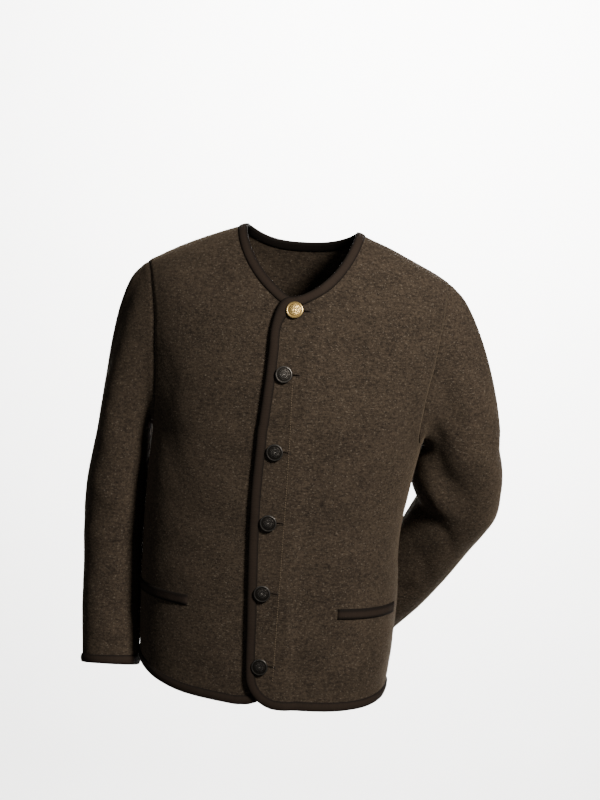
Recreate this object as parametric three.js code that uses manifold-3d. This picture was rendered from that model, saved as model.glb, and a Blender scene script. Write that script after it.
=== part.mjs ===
// A man's boiled-wool cardigan jacket, in millimetres, +Z up, front facing -Y.
// The origin lies between the two neck points of the shoulder seams. Every cloth
// piece is a thin wall whose outer face is worked out from the body and arm tables.
import * as THREE from 'three';
import { mergeVertices } from 'three/addons/utils/BufferGeometryUtils.js';
import Module from 'manifold-3d';

// ---------------------------------------------------------------- driving sizes
const CLOTH = 2.6;            // thickness of the felted knit
const TAPE = 1.0;             // thickness of the binding
const GAP = 0.3;              // clearance between neighbouring pieces
const BINDING_WIDTH = 13;     // visible width of the binding
const UNDERARM_Z = -300;      // height of the armholes' lowest points
const CORNER_RADIUS = 50;     // rounded lower corner of each front
const LAP_LIFT = 6;           // how far the upper front lies above the lower one
const LAP_REACH = 25;         // how far the lower front runs past the button line
const LAP_RAMP = { from: 32, to: 55 };            // where the upper front comes down
const POCKET = { top: -529, bottom: -545, inner: 30.5, outer: 78, thickness: 2 };
const BUTTON = { radius: 12, rim: 3.4, middle: 2.4, shank: 1.1 };
const BUTTONHOLE = { length: 25, height: 3.2, start: -3 };
const BUTTON_HEIGHTS = [-107, -196, -306, -408, -511, -619];

// Neck opening seen from above. Each front has its own curve, from the neck point to its
// middle, so that the two cross in a shallow V; the back's runs from point to point.
const NECK = {
  left: { reach: 85, middle: -30, power: 2.8, front: 106.5 },
  right: { reach: 77, middle: 40, power: 2.5, front: 106.5 },
  back: 59,
  backPower: 2.2,
  blend: 60,
};

// Shoulder ridge: its tip on each side, and the softness of its rise to the neck. From
// roundFrom outwards the shoulder's section grows rounder on top, towards its tip.
const SHOULDER = {
  left: { tip: 224, drop: 62, bow: 2 },
  right: { tip: 222, drop: 66.5, bow: 4 },
  crown: 5,
  softness: 60,
  setback: 8,
  round: 0.38,
  roundFrom: 100,
};

// Level sections below the underarm; half-widths and depths from the centre line.
const SECTIONS = [
  { z: -760, left: 180, right: 186, front: 133, back: 127 },
  { z: -670, left: 182, right: 189, front: 135, back: 125 },
  { z: -610, left: 186, right: 193, front: 136, back: 120 },
  { z: -535, left: 188, right: 196, front: 137, back: 112 },
  { z: -445, left: 184, right: 198, front: 138, back: 109 },
  { z: -360, left: 194, right: 197, front: 138, back: 115 },
  { z: -300, left: 205, right: 195, front: 137, back: 118 },
  { z: -240, left: 214, right: 199, front: 136, back: 118 },
];
const ROUNDNESS = { front: 2.4, back: 2.3 };

// Half-width of the yoke while the surface turns from the underarm up to the ridge.
const YOKE = [
  { rise: 0, left: 205, right: 195 },
  { rise: 15, left: 219, right: 205 },
  { rise: 35, left: 233, right: 215 },
  { rise: 60, left: 237, right: 223 },
  { rise: 90, left: 231, right: 228 },
];

// Armhole edge: how far across the yoke it runs while it rises from underarm to shoulder.
const ARMHOLE = [
  { rise: 0, left: 1, right: 1 },
  { rise: 4, left: 0.972, right: 0.968 },
  { rise: 12, left: 0.95, right: 0.935 },
  { rise: 26, left: 0.935, right: 0.913 },
  { rise: 45, left: 0.937, right: 0.915 },
  { rise: 68, left: 0.955, right: 0.945 },
  { rise: 90, left: 0.972, right: 0.975 },
];

// The front edge and the button line wander a little, as a worn front does.
const FRONT_LINE = [
  { z: -700, edge: -15, buttons: 2 },
  { z: -613, edge: -17, buttons: 2 },
  { z: -525, edge: -22, buttons: -2 },
  { z: -411, edge: -27, buttons: -1 },
  { z: -350, edge: -27.5, buttons: -0.5 },
  { z: -277, edge: -25, buttons: 1 },
  { z: -200, edge: -20.5, buttons: 4 },
  { z: -150, edge: -19, buttons: 7 },
  { z: -120, edge: -17.5, buttons: 9.8 },
  { z: -80, edge: -6, buttons: 12.5 },
];

// Hem height round the body: -1 and 1 are the side seams.
const HEM = [
  { across: -1, front: -650, back: -650 },
  { across: -0.8, front: -654, back: -658 },
  { across: -0.55, front: -666, back: -668 },
  { across: -0.3, front: -675, back: -674 },
  { across: 0, front: -680, back: -677 },
  { across: 0.3, front: -682, back: -678 },
  { across: 0.6, front: -680, back: -677 },
  { across: 1, front: -670, back: -670 },
];

// Sleeve sections from the upper arm to the cuff: centre, half-size across and front to back.
const SLEEVES = {
  right: [
    { x: -240, y: 10, z: -318, wide: 40, deep: 70 },
    { x: -242.2, y: 12, z: -350, wide: 42.8, deep: 69 },
    { x: -244.6, y: 13, z: -385, wide: 45.4, deep: 67 },
    { x: -245.5, y: 13, z: -420, wide: 46.5, deep: 65 },
    { x: -245.5, y: 11, z: -460, wide: 46, deep: 62 },
    { x: -243.8, y: 7, z: -500, wide: 44.7, deep: 59 },
    { x: -241.7, y: -1, z: -545, wide: 43.8, deep: 56 },
    { x: -239, y: -11, z: -592, wide: 43, deep: 52 },
    { x: -235.5, y: -19, z: -632, wide: 42.5, deep: 48 },
    { x: -233.5, y: -23, z: -654, wide: 42, deep: 46 },
    { x: -233, y: -26, z: -667, wide: 42, deep: 45 },
  ],
  left: [
    { x: 264, y: 35, z: -300, wide: 58, deep: 61 },
    { x: 262.5, y: 42, z: -325, wide: 65.5, deep: 60 },
    { x: 261.5, y: 51, z: -349, wide: 69, deep: 59 },
    { x: 266, y: 60, z: -371, wide: 65, deep: 58 },
    { x: 266, y: 69, z: -392, wide: 63, deep: 57 },
    { x: 258, y: 77, z: -411, wide: 59, deep: 56 },
    { x: 246.5, y: 86, z: -432, wide: 57, deep: 55 },
    { x: 233.5, y: 95, z: -456, wide: 55.5, deep: 53 },
    { x: 218.5, y: 105, z: -483, wide: 54, deep: 51 },
    { x: 201.5, y: 116, z: -512, wide: 52, deep: 49 },
    { x: 183, y: 128, z: -541.5, wide: 49.5, deep: 47 },
    { x: 163, y: 139, z: -569, wide: 46.5, deep: 45 },
    { x: 148, y: 147, z: -589, wide: 45, deep: 44 },
    { x: 140, y: 151, z: -599, wide: 45, deep: 44 },
  ],
};
const SLEEVE_ROUNDNESS = 2.25;
const CAP_RINGS = 6;          // rings between the armhole and the first sleeve section
const CAP_FULLNESS = { left: 0.62, right: 0.66 };
const CAP_START = 22;         // reach of the cap's curve beside its length
const CAP_TURN = 0.3;         // share of the body's own curl that the cap keeps at the armhole
const CAP_SPAN = 0.9;         // share of the cap's length that its curve reaches
const ARMHOLE_HALF = { height: 112, depth: 68 };  // rough half-sizes, for the cap's stations

// Folds in the cloth, each a soft trough or ridge along a line seen from the front.
const FOLDS = [
  { piece: 'sleeve_left', x: 240, z: -381, slope: -50, length: 60, width: 12, depth: 6 },
  { piece: 'sleeve_left', x: 246, z: -342, slope: -42, length: 58, width: 14, depth: -8 },
  { piece: 'sleeve_left', x: 225, z: -285, slope: -66, length: 50, width: 13, depth: -4 },
  { piece: 'sleeve_left', x: 240, z: -215, slope: -76, length: 75, width: 15, depth: -3 },
  { piece: 'sleeve_right', x: -236, z: -300, slope: 80, length: 90, width: 16, depth: -4 },
  { piece: 'sleeve_right', x: -262, z: -440, slope: 35, length: 50, width: 14, depth: -3 },
  { piece: 'front_left', x: 186, z: -250, slope: 84, length: 85, width: 18, depth: -5 },
  { piece: 'front_right', x: -170, z: -240, slope: -82, length: 85, width: 20, depth: -4 },
];

// Rows and columns of a front's net.
const EDGE_ROWS = 6;          // from the underarm up to the neck corner
const NECK_ROWS = 7;          // along the neckline
const ARM_ROWS = EDGE_ROWS + NECK_ROWS;
const ARM_SPACING = 1.6;      // rows of the armhole's curve, closer near the underarm
const BACK_COLUMNS = 16;
const NECK_CORNER_Z = -85;    // where the front edges meet the neckline
const RIDGE_SHARE = 0.95;     // level part of a step along the sloping shoulder ridge
const FINE_STEPS = 160;       // samples of a line that is shared out by length
const NECK_PASSES = 12;
const LATHE_STEPS = 16;
const SIDE_COLUMNS = 5;       // from the pocket's inner end to the side seam
const BODY_HEIGHTS = [-478, -425, -375, -335];
const COLOURS = {
  wool: 0x3d332a, woolDeep: 0x342b24, tape: 0x1e1712, brass: 0xb08d4a, patina: 0x4a4238,
};

// ---------------------------------------------------------------- small tools
const point = (x, y, z) => new THREE.Vector3(x, y, z);
const moved = (start, direction, distance) => start.clone().addScaledVector(direction, distance);
const mix = (a, b, share) => a + (b - a) * share;
const radians = THREE.MathUtils.degToRad;
const degrees = THREE.MathUtils.radToDeg;
const smooth = THREE.MathUtils.smoothstep;
const count = (number) => [...Array(number).keys()];

// A smooth curve through one column of a table, at a value of its key column.
function curve(table, key, column, value) {
  const last = table.length - 1;
  let row = 0;
  while (row < last - 1 && (value - table[row + 1][key]) * (table[last][key] - table[0][key]) > 0) {
    row += 1;
  }
  const at = (index) => table[THREE.MathUtils.clamp(index, 0, last)];
  const slope = (index) => {
    const before = at(index - 1);
    const after = at(index + 1);
    return (after[column] - before[column]) / (after[key] - before[key]);
  };
  const span = at(row + 1)[key] - at(row)[key];
  const share = THREE.MathUtils.clamp((value - at(row)[key]) / span, 0, 1);
  const start = at(row)[column];
  const end = at(row + 1)[column];
  const rise = end - start;
  const leave = slope(row) * span - rise;
  const arrive = rise - slope(row + 1) * span;
  return start + share * rise + share * (1 - share) * ((1 - share) * leave + share * arrive);
}

// ---------------------------------------------------------------- the body's outer surface
// A place on it is face (-1 front, 1 back), turn (degrees round from the centre line,
// -90 to 90) and rise: millimetres below the underarm if negative, else degrees from
// the underarm (0) to the shoulder ridge (90).
const sideName = (turn) => (turn < 0 ? 'right' : 'left');
const faceName = (face) => (face < 0 ? 'front' : 'back');

function ridgeHeight(x) {
  const soft = (reach) => Math.hypot(reach, SHOULDER.softness);
  const slope = (side) => {
    const neck = soft(NECK[side].reach);
    const share = (soft(x) - neck) / (soft(SHOULDER[side].tip) - neck);
    const bow = SHOULDER[side].bow * 4 * Math.max(share * (1 - share), 0);
    return SHOULDER.crown + bow - SHOULDER[side].drop * share;
  };
  return mix(slope('right'), slope('left'), smooth(x, -NECK.blend, NECK.blend));
}

function ridgeSetback(x) {
  return SHOULDER.setback * smooth(Math.abs(x), NECK.right.reach, SHOULDER.right.tip);
}

function halfWidth(turn, rise) {
  if (rise <= 0) return curve(SECTIONS, 'z', sideName(turn), UNDERARM_Z + rise);
  return curve(YOKE, 'rise', sideName(turn), rise);
}

function bodyPoint(face, turn, rise) {
  const power = 2 / ROUNDNESS[faceName(face)];
  const angle = radians(Math.min(Math.abs(turn), 90));
  const x = Math.sign(turn) * halfWidth(turn, rise) * Math.sin(angle) ** power;
  const reach = Math.max(Math.cos(angle), 0) ** power;
  const z = UNDERARM_Z + Math.min(rise, 0);
  const depth = face * reach * curve(SECTIONS, 'z', faceName(face), z);
  if (rise <= 0) return point(x, depth, z);
  const lift = radians(rise);
  const back = ridgeSetback(x);
  const sharp = 1 - SHOULDER.round
    * smooth(Math.abs(x), SHOULDER.roundFrom, SHOULDER.right.tip);
  return point(x, back + (depth - back) * Math.max(Math.cos(lift), 0) ** sharp,
    UNDERARM_Z + (ridgeHeight(x) - UNDERARM_Z) * Math.sin(lift));
}

// The same surface continued past a side seam or over the ridge, for its directions.
function bodyBeyond(face, turn, rise) {
  const over = Math.abs(turn) > 90;
  const top = rise > 90;
  return bodyPoint(over !== top ? -face : face,
    over ? Math.sign(turn) * 180 - turn : turn, top ? 180 - rise : rise);
}

function bodyDirections(face, turn, rise) {
  const step = 0.5;
  const round = bodyBeyond(face, turn + step, rise).sub(bodyBeyond(face, turn - step, rise));
  const up = bodyBeyond(face, turn, rise + step).sub(bodyBeyond(face, turn, rise - step));
  const normal = up.clone().cross(round).multiplyScalar(face).normalize();
  return { round: round.multiplyScalar(0.5 / step), up: up.multiplyScalar(0.5 / step), normal };
}

function turnAt(face, x, rise) {
  const share = Math.min(Math.abs(x) / halfWidth(x, rise), 1);
  return Math.sign(x) * degrees(Math.asin(share ** (ROUNDNESS[faceName(face)] / 2)));
}

function placeAt(face, x, z) {
  if (z <= UNDERARM_Z) return { turn: turnAt(face, x, z - UNDERARM_Z), rise: z - UNDERARM_Z };
  const share = (z - UNDERARM_Z) / (ridgeHeight(x) - UNDERARM_Z);
  const rise = degrees(Math.asin(Math.min(share, 1)));
  return { turn: turnAt(face, x, rise), rise };
}

// A place moved over the surface by a short step given as a vector.
function slide(face, place, step) {
  const { round, up } = bodyDirections(face, place.turn, place.rise);
  const rr = round.dot(round);
  const uu = up.dot(up);
  const ru = round.dot(up);
  const sr = step.dot(round);
  const su = step.dot(up);
  const area = rr * uu - ru * ru;
  return {
    turn: place.turn + (sr * uu - su * ru) / area,
    rise: Math.min(place.rise + (su * rr - sr * ru) / area, 90),
  };
}

// The neckline on one face: angle 0 is the centre, 90 the left neck point, -90 the right.
function neckPlace(face, angle) {
  const side = Math.sign(angle);
  const neck = angle < 0 ? NECK.right : NECK.left;
  const front = face < 0;
  const power = 2 / (front ? neck.power : NECK.backPower);
  const open = radians(Math.abs(angle));
  const middle = front ? neck.middle : 0;
  const x = middle + side * (neck.reach - side * middle) * Math.sin(open) ** power;
  const y = (front ? neck.front : NECK.back) * Math.max(Math.cos(open), 0) ** power;
  let rise = 60;
  for (let pass = 0; pass < NECK_PASSES; pass += 1) {
    const flat = Math.abs(bodyPoint(face, turnAt(face, x, rise), 0).y);
    rise = degrees(Math.acos(Math.min(y / flat, 1)));
  }
  return { turn: turnAt(face, x, rise), rise };
}

// Places evenly spaced by length along a line of places.
function evenly(face, line, steps) {
  const fine = FINE_STEPS;
  const places = count(fine + 1).map((index) => line(index / fine));
  const lengths = [0];
  for (let index = 1; index <= fine; index += 1) {
    const a = bodyPoint(face, places[index - 1].turn, places[index - 1].rise);
    const b = bodyPoint(face, places[index].turn, places[index].rise);
    lengths.push(lengths[index - 1] + a.distanceTo(b));
  }
  return count(steps + 1).map((step) => {
    const target = lengths[fine] * step / steps;
    let index = 1;
    while (index < fine && lengths[index] < target) index += 1;
    const share = (target - lengths[index - 1]) / (lengths[index] - lengths[index - 1]);
    return {
      turn: mix(places[index - 1].turn, places[index].turn, share),
      rise: mix(places[index - 1].rise, places[index].rise, share),
    };
  });
}

function armholePlaces(face, side) {
  const name = sideName(side);
  const top = ARMHOLE.length - 1;
  return evenly(face, (share) => {
    const rise = 90 * share ** ARM_SPACING;
    const reach = Math.min(curve(ARMHOLE, 'rise', name, rise), 1);
    const last = ARMHOLE[top][name] * halfWidth(side, 90);
    const x = rise >= 90 ? last : reach * halfWidth(side, rise);
    return { turn: turnAt(face, side * x, rise), rise };
  }, ARM_ROWS);
}

// ---------------------------------------------------------------- folds
function foldHeight(piece, place) {
  let height = 0;
  for (const fold of FOLDS.filter((row) => row.piece === piece)) {
    const angle = radians(fold.slope);
    const dx = place.x - fold.x;
    const dz = place.z - fold.z;
    const along = dx * Math.cos(angle) + dz * Math.sin(angle);
    const off = dz * Math.cos(angle) - dx * Math.sin(angle);
    const fade = Math.max(1 - (along / fold.length) ** 2, 0) ** 2;
    height += fold.depth * fade * Math.exp(-((off / fold.width) ** 2));
  }
  return height;
}

// ---------------------------------------------------------------- closed meshes from nets
class Shell {
  constructor() {
    this.corners = [];
    this.faces = [];
    this.index = new Map();
  }

  corner(place) {
    const key = [place.x, place.y, place.z].map((value) => Math.round(value * 500)).join(' ');
    if (!this.index.has(key)) {
      this.index.set(key, this.corners.length);
      this.corners.push(place);
    }
    return this.index.get(key);
  }

  triangle(a, b, c) {
    const [i, j, k] = [a, b, c].map((place) => this.corner(place));
    if (i !== j && j !== k && k !== i) this.faces.push(i, j, k);
  }

  // Four corners in order; the first pair of triangles shares the diagonal from a to c.
  quad(a, b, c, d, straight = true) {
    if (straight) {
      this.triangle(a, b, c);
      this.triangle(a, c, d);
    } else {
      this.triangle(a, b, d);
      this.triangle(b, c, d);
    }
  }

  geometry() {
    const positions = this.corners.flatMap((place) => [place.x, place.y, place.z]);
    const geometry = new THREE.BufferGeometry();
    geometry.setAttribute('position', new THREE.Float32BufferAttribute(positions, 3));
    geometry.setIndex(this.faces);
    return facingOut(geometry);
  }
}

// Turns a closed mesh's triangles round if they enclose a negative volume.
function facingOut(geometry) {
  const places = geometry.attributes.position;
  const order = geometry.index.array;
  const at = (index) => new THREE.Vector3().fromBufferAttribute(places, order[index]);
  let volume = 0;
  for (let index = 0; index < order.length; index += 3) {
    volume += at(index).dot(at(index + 1).cross(at(index + 2)));
  }
  if (volume < 0) {
    for (let index = 0; index < order.length; index += 3) {
      [order[index + 1], order[index + 2]] = [order[index + 2], order[index + 1]];
    }
  }
  return geometry;
}

const shortDiagonal = (a, b, c, d) => a.distanceTo(c) <= b.distanceTo(d);

// A net is { base, normal, lift, wrap }: rows of places on the surface, the directions
// there, and how far the outer face lies above each. A wall lies between two levels.
function wall(net, upper, lower, columns = null, rows = null) {
  const shell = new Shell();
  const [firstColumn, lastColumn] = columns ?? [0, net.base.length - 1];
  const [firstRow, lastRow] = rows ?? [0, net.base[0].length - 1];
  const size = net.base.length;
  const level = (i, j, height) => moved(net.base[i % size][j], net.normal[i % size][j],
    net.lift[i % size][j] + height);
  const end = net.wrap ? size : lastColumn;
  for (let i = firstColumn; i < end; i += 1) {
    for (let j = firstRow; j < lastRow; j += 1) {
      const ring = [[i, j], [i + 1, j], [i + 1, j + 1], [i, j + 1]];
      const straight = shortDiagonal(...ring.map(([m, n]) => net.base[m % size][n]));
      shell.quad(...ring.map(([m, n]) => level(m, n, upper)), straight);
      const [a, b, c, d] = ring.map(([m, n]) => level(m, n, lower));
      shell.quad(a, d, c, b, straight);
    }
  }
  const side = (i, j, m, n) => {
    shell.quad(level(i, j, upper), level(i, j, lower), level(m, n, lower), level(m, n, upper));
  };
  for (let i = firstColumn; i < end; i += 1) {
    side(i, firstRow, i + 1, firstRow);
    side(i + 1, lastRow, i, lastRow);
  }
  if (!net.wrap) {
    for (let j = firstRow; j < lastRow; j += 1) {
      side(firstColumn, j + 1, firstColumn, j);
      side(lastColumn, j, lastColumn, j + 1);
    }
  }
  return shell.geometry();
}

// A binding folded round an edge. Its stops are [edge cell, inner cell] of the net.
function binding(net, stops, closed = false) {
  const total = stops.length;
  const base = ([i, j]) => net.base[i][j];
  const wrapped = (index) => (closed ? (index + total) % total
    : THREE.MathUtils.clamp(index, 0, total - 1));
  const rings = stops.map(([edge, inner], index) => {
    const normal = net.normal[edge[0]][edge[1]];
    const innerNormal = net.normal[inner[0]][inner[1]];
    const outer = moved(base(edge), normal, net.lift[edge[0]][edge[1]]);
    const root = moved(base(inner), innerNormal, net.lift[inner[0]][inner[1]]);
    const ahead = base(stops[wrapped(index + 1)][0]);
    const behind = base(stops[wrapped(index - 1)][0]);
    const along = ahead.clone().sub(behind).normalize();
    const away = outer.clone().sub(root);
    const atEnd = !closed && (index === 0 || index === total - 1);
    if (!atEnd) away.addScaledVector(along, -away.dot(along));
    away.addScaledVector(normal, -away.dot(normal)).normalize();
    const ease = atEnd ? GAP / 2 * (index === 0 ? 1 : -1) : 0;
    const level = (start, direction, height, reach = 0) => moved(
      moved(moved(start, direction, height), away, reach), along, ease,
    );
    const thick = GAP + TAPE;
    return [
      level(root, innerNormal, thick),
      level(outer, normal, thick, thick),
      level(outer, normal, -CLOTH - thick, thick),
      level(root, innerNormal, -CLOTH - thick),
      level(root, innerNormal, -CLOTH - GAP),
      level(outer, normal, -CLOTH - GAP, GAP),
      level(outer, normal, GAP, GAP),
      level(root, innerNormal, GAP),
    ];
  });
  const shell = new Shell();
  const size = rings[0].length;
  for (let stop = 0; stop < (closed ? total : total - 1); stop += 1) {
    const next = wrapped(stop + 1);
    const [edgeHere, innerHere] = stops[stop];
    const [edgeNext, innerNext] = stops[next];
    const rising = shortDiagonal(base(edgeHere), base(edgeNext), base(innerNext), base(innerHere));
    for (let side = 0; side < size; side += 1) {
      const after = (side + 1) % size;
      const edgeFirst = side === 1 || side === 2 || side === 5 || side === 6;
      shell.quad(rings[stop][side], rings[stop][after], rings[next][after], rings[next][side],
        edgeFirst ? rising : !rising);
    }
  }
  if (!closed) {
    for (const [ring, turned] of [[rings[0], false], [rings[total - 1], true]]) {
      for (const [a, b, c, d] of [[0, 1, 6, 7], [1, 2, 5, 6], [2, 3, 4, 5]]) {
        const corners = [ring[a], ring[b], ring[c], ring[d]];
        if (turned) corners.reverse();
        const [first, ...rest] = corners;
        shell.quad(first, ...rest.reverse());
      }
    }
  }
  return shell.geometry();
}

// Pulls the rim of a net back from a seam by a little over half the clearance.
function easeSeam(net, cells) {
  for (const [[i, j], [m, n]] of cells) {
    const inward = net.base[m][n].clone().sub(net.base[i][j]).normalize();
    net.base[i][j].addScaledVector(inward, 0.6 * GAP);
  }
}

function netFrom(piece, face, places, liftAt) {
  const base = places.map((column) => column.map(({ turn, rise }) => bodyPoint(face, turn, rise)));
  const normal = places.map((column) => column.map(
    ({ turn, rise }) => bodyDirections(face, turn, rise).normal,
  ));
  const lift = base.map((column) => column.map(
    (place) => liftAt(place) + foldHeight(piece, place),
  ));
  return { base, normal, lift, wrap: false };
}

// ---------------------------------------------------------------- fronts
const hemHeight = (face, turn) => curve(HEM, 'across', faceName(face), turn / 90);

// The part of a row that runs from its inner strip to the side, shared out by angle.
function rowPlace(start, end, share) {
  return { turn: mix(start.turn, end.turn, share), rise: mix(start.rise, end.rise, share) };
}

// side is 1 for the wearer's left front, which laps over, and -1 for the right one.
function frontNet(side) {
  const face = -1;
  const piece = side > 0 ? 'front_left' : 'front_right';
  const edgeAt = (z) => (side > 0 ? curve(FRONT_LINE, 'z', 'edge', z)
    : curve(FRONT_LINE, 'z', 'buttons', z) + LAP_REACH);
  const spot = (inset, z) => placeAt(face, edgeAt(z) + side * inset, z);
  const centre = hemHeight(face, 0) + CORNER_RADIUS - side;
  const corner = CORNER_RADIUS;
  const round = (angle, radius) => {
    const inset = corner - radius * Math.cos(radians(angle));
    return placeAt(face, edgeAt(centre) + side * inset, centre - radius * Math.sin(radians(angle)));
  };
  const hemPlace = (turn, above) => ({ turn, rise: hemHeight(face, turn) + above - UNDERARM_Z });
  const inner = corner - BINDING_WIDTH;
  const outerTurns = count(SIDE_COLUMNS + 1).map((step) => {
    const last = step === SIDE_COLUMNS;
    return side * (last ? 90 : mix(POCKET.inner, POCKET.outer, step / (SIDE_COLUMNS - 1)));
  });
  const flatInsets = [0, BINDING_WIDTH, corner, corner + 30];

  // Level rows below the underarm: the corner's strip, then straight across.
  const lowHeights = [POCKET.bottom, POCKET.top, ...BODY_HEIGHTS, UNDERARM_Z];
  const lowRow = (z) => [...flatInsets.map((inset) => spot(inset, z)),
    ...outerTurns.map((turn) => ({ turn, rise: z - UNDERARM_Z }))];
  const hemTurns = [round(90, corner).turn, spot(corner + 30, centre).turn, ...outerTurns];
  const rows = [
    [round(45, corner), round(67.5, corner), ...hemTurns.map((turn) => hemPlace(turn, 0))],
    [round(22.5, corner), round(45, inner),
      ...hemTurns.map((turn) => hemPlace(turn, BINDING_WIDTH))],
    [...flatInsets.map((inset) => spot(inset, centre)),
      ...outerTurns.map((turn) => hemPlace(turn, corner))],
    ...lowHeights.map(lowRow),
  ];

  // Rows from the underarm to the shoulder: up the edge, then along the neckline.
  const neckCorner = neckAngleAt(side, edgeAt(NECK_CORNER_Z));
  const neckline = evenly(face, (share) => neckPlace(face, mix(neckCorner, side * 90, share)),
    NECK_ROWS);
  const cornerZ = bodyPoint(face, neckline[0].turn, neckline[0].rise).z;
  const armhole = armholePlaces(face, side);
  const low = rows[rows.length - 1];
  const shares = low.slice(1).map(({ turn }) => (turn - low[1].turn) / (side * 90 - low[1].turn));
  for (let step = 1; step <= ARM_ROWS; step += 1) {
    const onEdge = step <= EDGE_ROWS;
    const z = mix(UNDERARM_Z, cornerZ, step / EDGE_ROWS);
    const rim = onEdge ? spot(0, z) : neckline[step - EDGE_ROWS];
    const strip = step < EDGE_ROWS ? spot(BINDING_WIDTH, z)
      : neckStrip(face, side, neckline, step - EDGE_ROWS);
    const even = smooth(step, 0, ARM_ROWS);
    const across = shares.map((share, index) => rowPlace(strip, armhole[step],
      mix(share, index / (shares.length - 1), even)));
    rows.push([step === EDGE_ROWS ? neckline[0] : rim, ...across]);
  }
  const places = rows[0].map((_, column) => rows.map((row) => row[column]));
  const liftAt = (place) => {
    if (side < 0) return 0;
    const past = place.x - curve(FRONT_LINE, 'z', 'buttons', place.z);
    return LAP_LIFT * (1 - smooth(past, LAP_RAMP.from, LAP_RAMP.to));
  };
  const net = netFrom(piece, face, places, liftAt);
  const lastColumn = places.length - 1;
  const lastRow = rows.length - 1;
  easeSeam(net, count(lastRow + 1).map((j) => [[lastColumn, j], [lastColumn - 1, j]]));
  easeSeam(net, count(lastColumn + 1).map((i) => [[i, lastRow], [i, lastRow - 1]]));
  return net;
}

// The angle on a front's neckline at which it lies at x.
function neckAngleAt(side, x) {
  const neck = side > 0 ? NECK.left : NECK.right;
  const share = Math.abs(x - neck.middle) / (neck.reach - side * neck.middle);
  return side * degrees(Math.asin(share ** (neck.power / 2)));
}

// The place a binding's width below the neckline, square to it.
function neckStrip(face, side, neckline, index) {
  const last = neckline.length - 1;
  const here = neckline[index];
  const spots = neckline.map(({ turn, rise }) => bodyPoint(face, turn, rise));
  if (index === last) return slideAlongRidge(face, here, side);
  const along = spots[index + 1].clone().sub(spots[Math.max(index - 1, 0)]).normalize();
  const { normal } = bodyDirections(face, here.turn, here.rise);
  const down = along.clone().cross(normal).normalize();
  if (down.z > 0) down.negate();
  const step = down.multiplyScalar(BINDING_WIDTH);
  if (index === 0) step.addScaledVector(along, BINDING_WIDTH);
  return slide(face, here, step);
}

function slideAlongRidge(face, place, side) {
  const target = bodyPoint(face, place.turn, 90).x + side * BINDING_WIDTH * RIDGE_SHARE;
  return { turn: turnAt(face, target, 90), rise: 90 };
}

// ---------------------------------------------------------------- back
// Its outer columns run up the side seam, the armhole and the shoulder seam to the neck.
function backNet() {
  const face = 1;
  const columns = BACK_COLUMNS;
  const neckline = evenly(face, (share) => neckPlace(face, mix(-90, 90, share)), columns);
  const sides = [-1, 1].map((side) => {
    const seam = shoulderSeam(side);
    const low = [0, BINDING_WIDTH, CORNER_RADIUS].map((above) => ({
      turn: side * 90, rise: hemHeight(face, side * 90) + above - UNDERARM_Z,
    }));
    const middle = [POCKET.bottom, POCKET.top, ...BODY_HEIGHTS].map((z) => ({
      turn: side * 90, rise: z - UNDERARM_Z,
    }));
    return [...low, ...middle, ...armholePlaces(face, side), ...seam];
  });
  const total = sides[0].length;
  const hemRows = 3;
  const lowRows = hemRows + 2 + BODY_HEIGHTS.length;
  const centre = stripBelowNeck(face, neckline, columns / 2).rise;
  const rows = count(total).map((row) => count(columns + 1).map((column) => {
    const share = column / columns;
    const start = sides[0][row];
    const end = sides[1][row];
    if (row < hemRows) {
      const turn = mix(-90, 90, share);
      const above = [0, BINDING_WIDTH, CORNER_RADIUS][row];
      return { turn, rise: hemHeight(face, turn) + above - UNDERARM_Z };
    }
    if (row === total - 1) return neckline[column];
    if (row === total - 2 && column > 0 && column < columns) {
      return stripBelowNeck(face, neckline, column);
    }
    const { turn, rise } = rowPlace(start, end, share);
    const sag = Math.sqrt(1 - (2 * share - 1) ** 2);
    const low = Math.min(rise, centre * smooth(row, lowRows, total - 2) ** 0.8);
    return { turn, rise: rise <= 0 ? rise : mix(rise, low, sag) };
  }));
  const places = rows[0].map((_, column) => rows.map((row) => row[column]));
  const net = netFrom('back', face, places, () => 0);
  for (const [column, next] of [[0, 1], [columns, columns - 1]]) {
    easeSeam(net, count(total).map((j) => [[column, j], [next, j]]));
  }
  return net;
}

// The shoulder seam's stops, taken over from the front so that both edges match.
function shoulderSeam(side) {
  const neckPoint = neckPlace(-1, side * 90);
  const strip = slideAlongRidge(-1, neckPoint, side);
  const tip = armholePlaces(-1, side)[ARM_ROWS];
  const steps = SIDE_COLUMNS + 3;
  const turns = count(steps).map((step) => mix(tip.turn, strip.turn, (step + 1) / steps));
  return [...turns, neckPoint.turn].map((turn) => ({
    turn: turnAt(1, bodyPoint(-1, turn, 90).x, 90), rise: 90,
  }));
}

function stripBelowNeck(face, neckline, index) {
  const spots = neckline.map(({ turn, rise }) => bodyPoint(face, turn, rise));
  const along = spots[index + 1].clone().sub(spots[index - 1]).normalize();
  const here = neckline[index];
  const { normal } = bodyDirections(face, here.turn, here.rise);
  const down = along.cross(normal).normalize();
  if (down.y < 0) down.negate();
  return slide(face, here, down.multiplyScalar(BINDING_WIDTH));
}

// ---------------------------------------------------------------- sleeves
// Stations run round the armhole: up the front from the underarm, then down the back.
function armholeStations(side) {
  const stations = [];
  for (const face of [-1, 1]) {
    const places = armholePlaces(face, side);
    const order = face < 0 ? places : places.slice().reverse();
    order.slice(0, -1).forEach((place) => {
      const spot = bodyPoint(face, place.turn, place.rise);
      const { normal } = bodyDirections(face, place.turn, place.rise);
      stations.push({ spot, normal });
    });
  }
  return stations;
}

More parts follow.
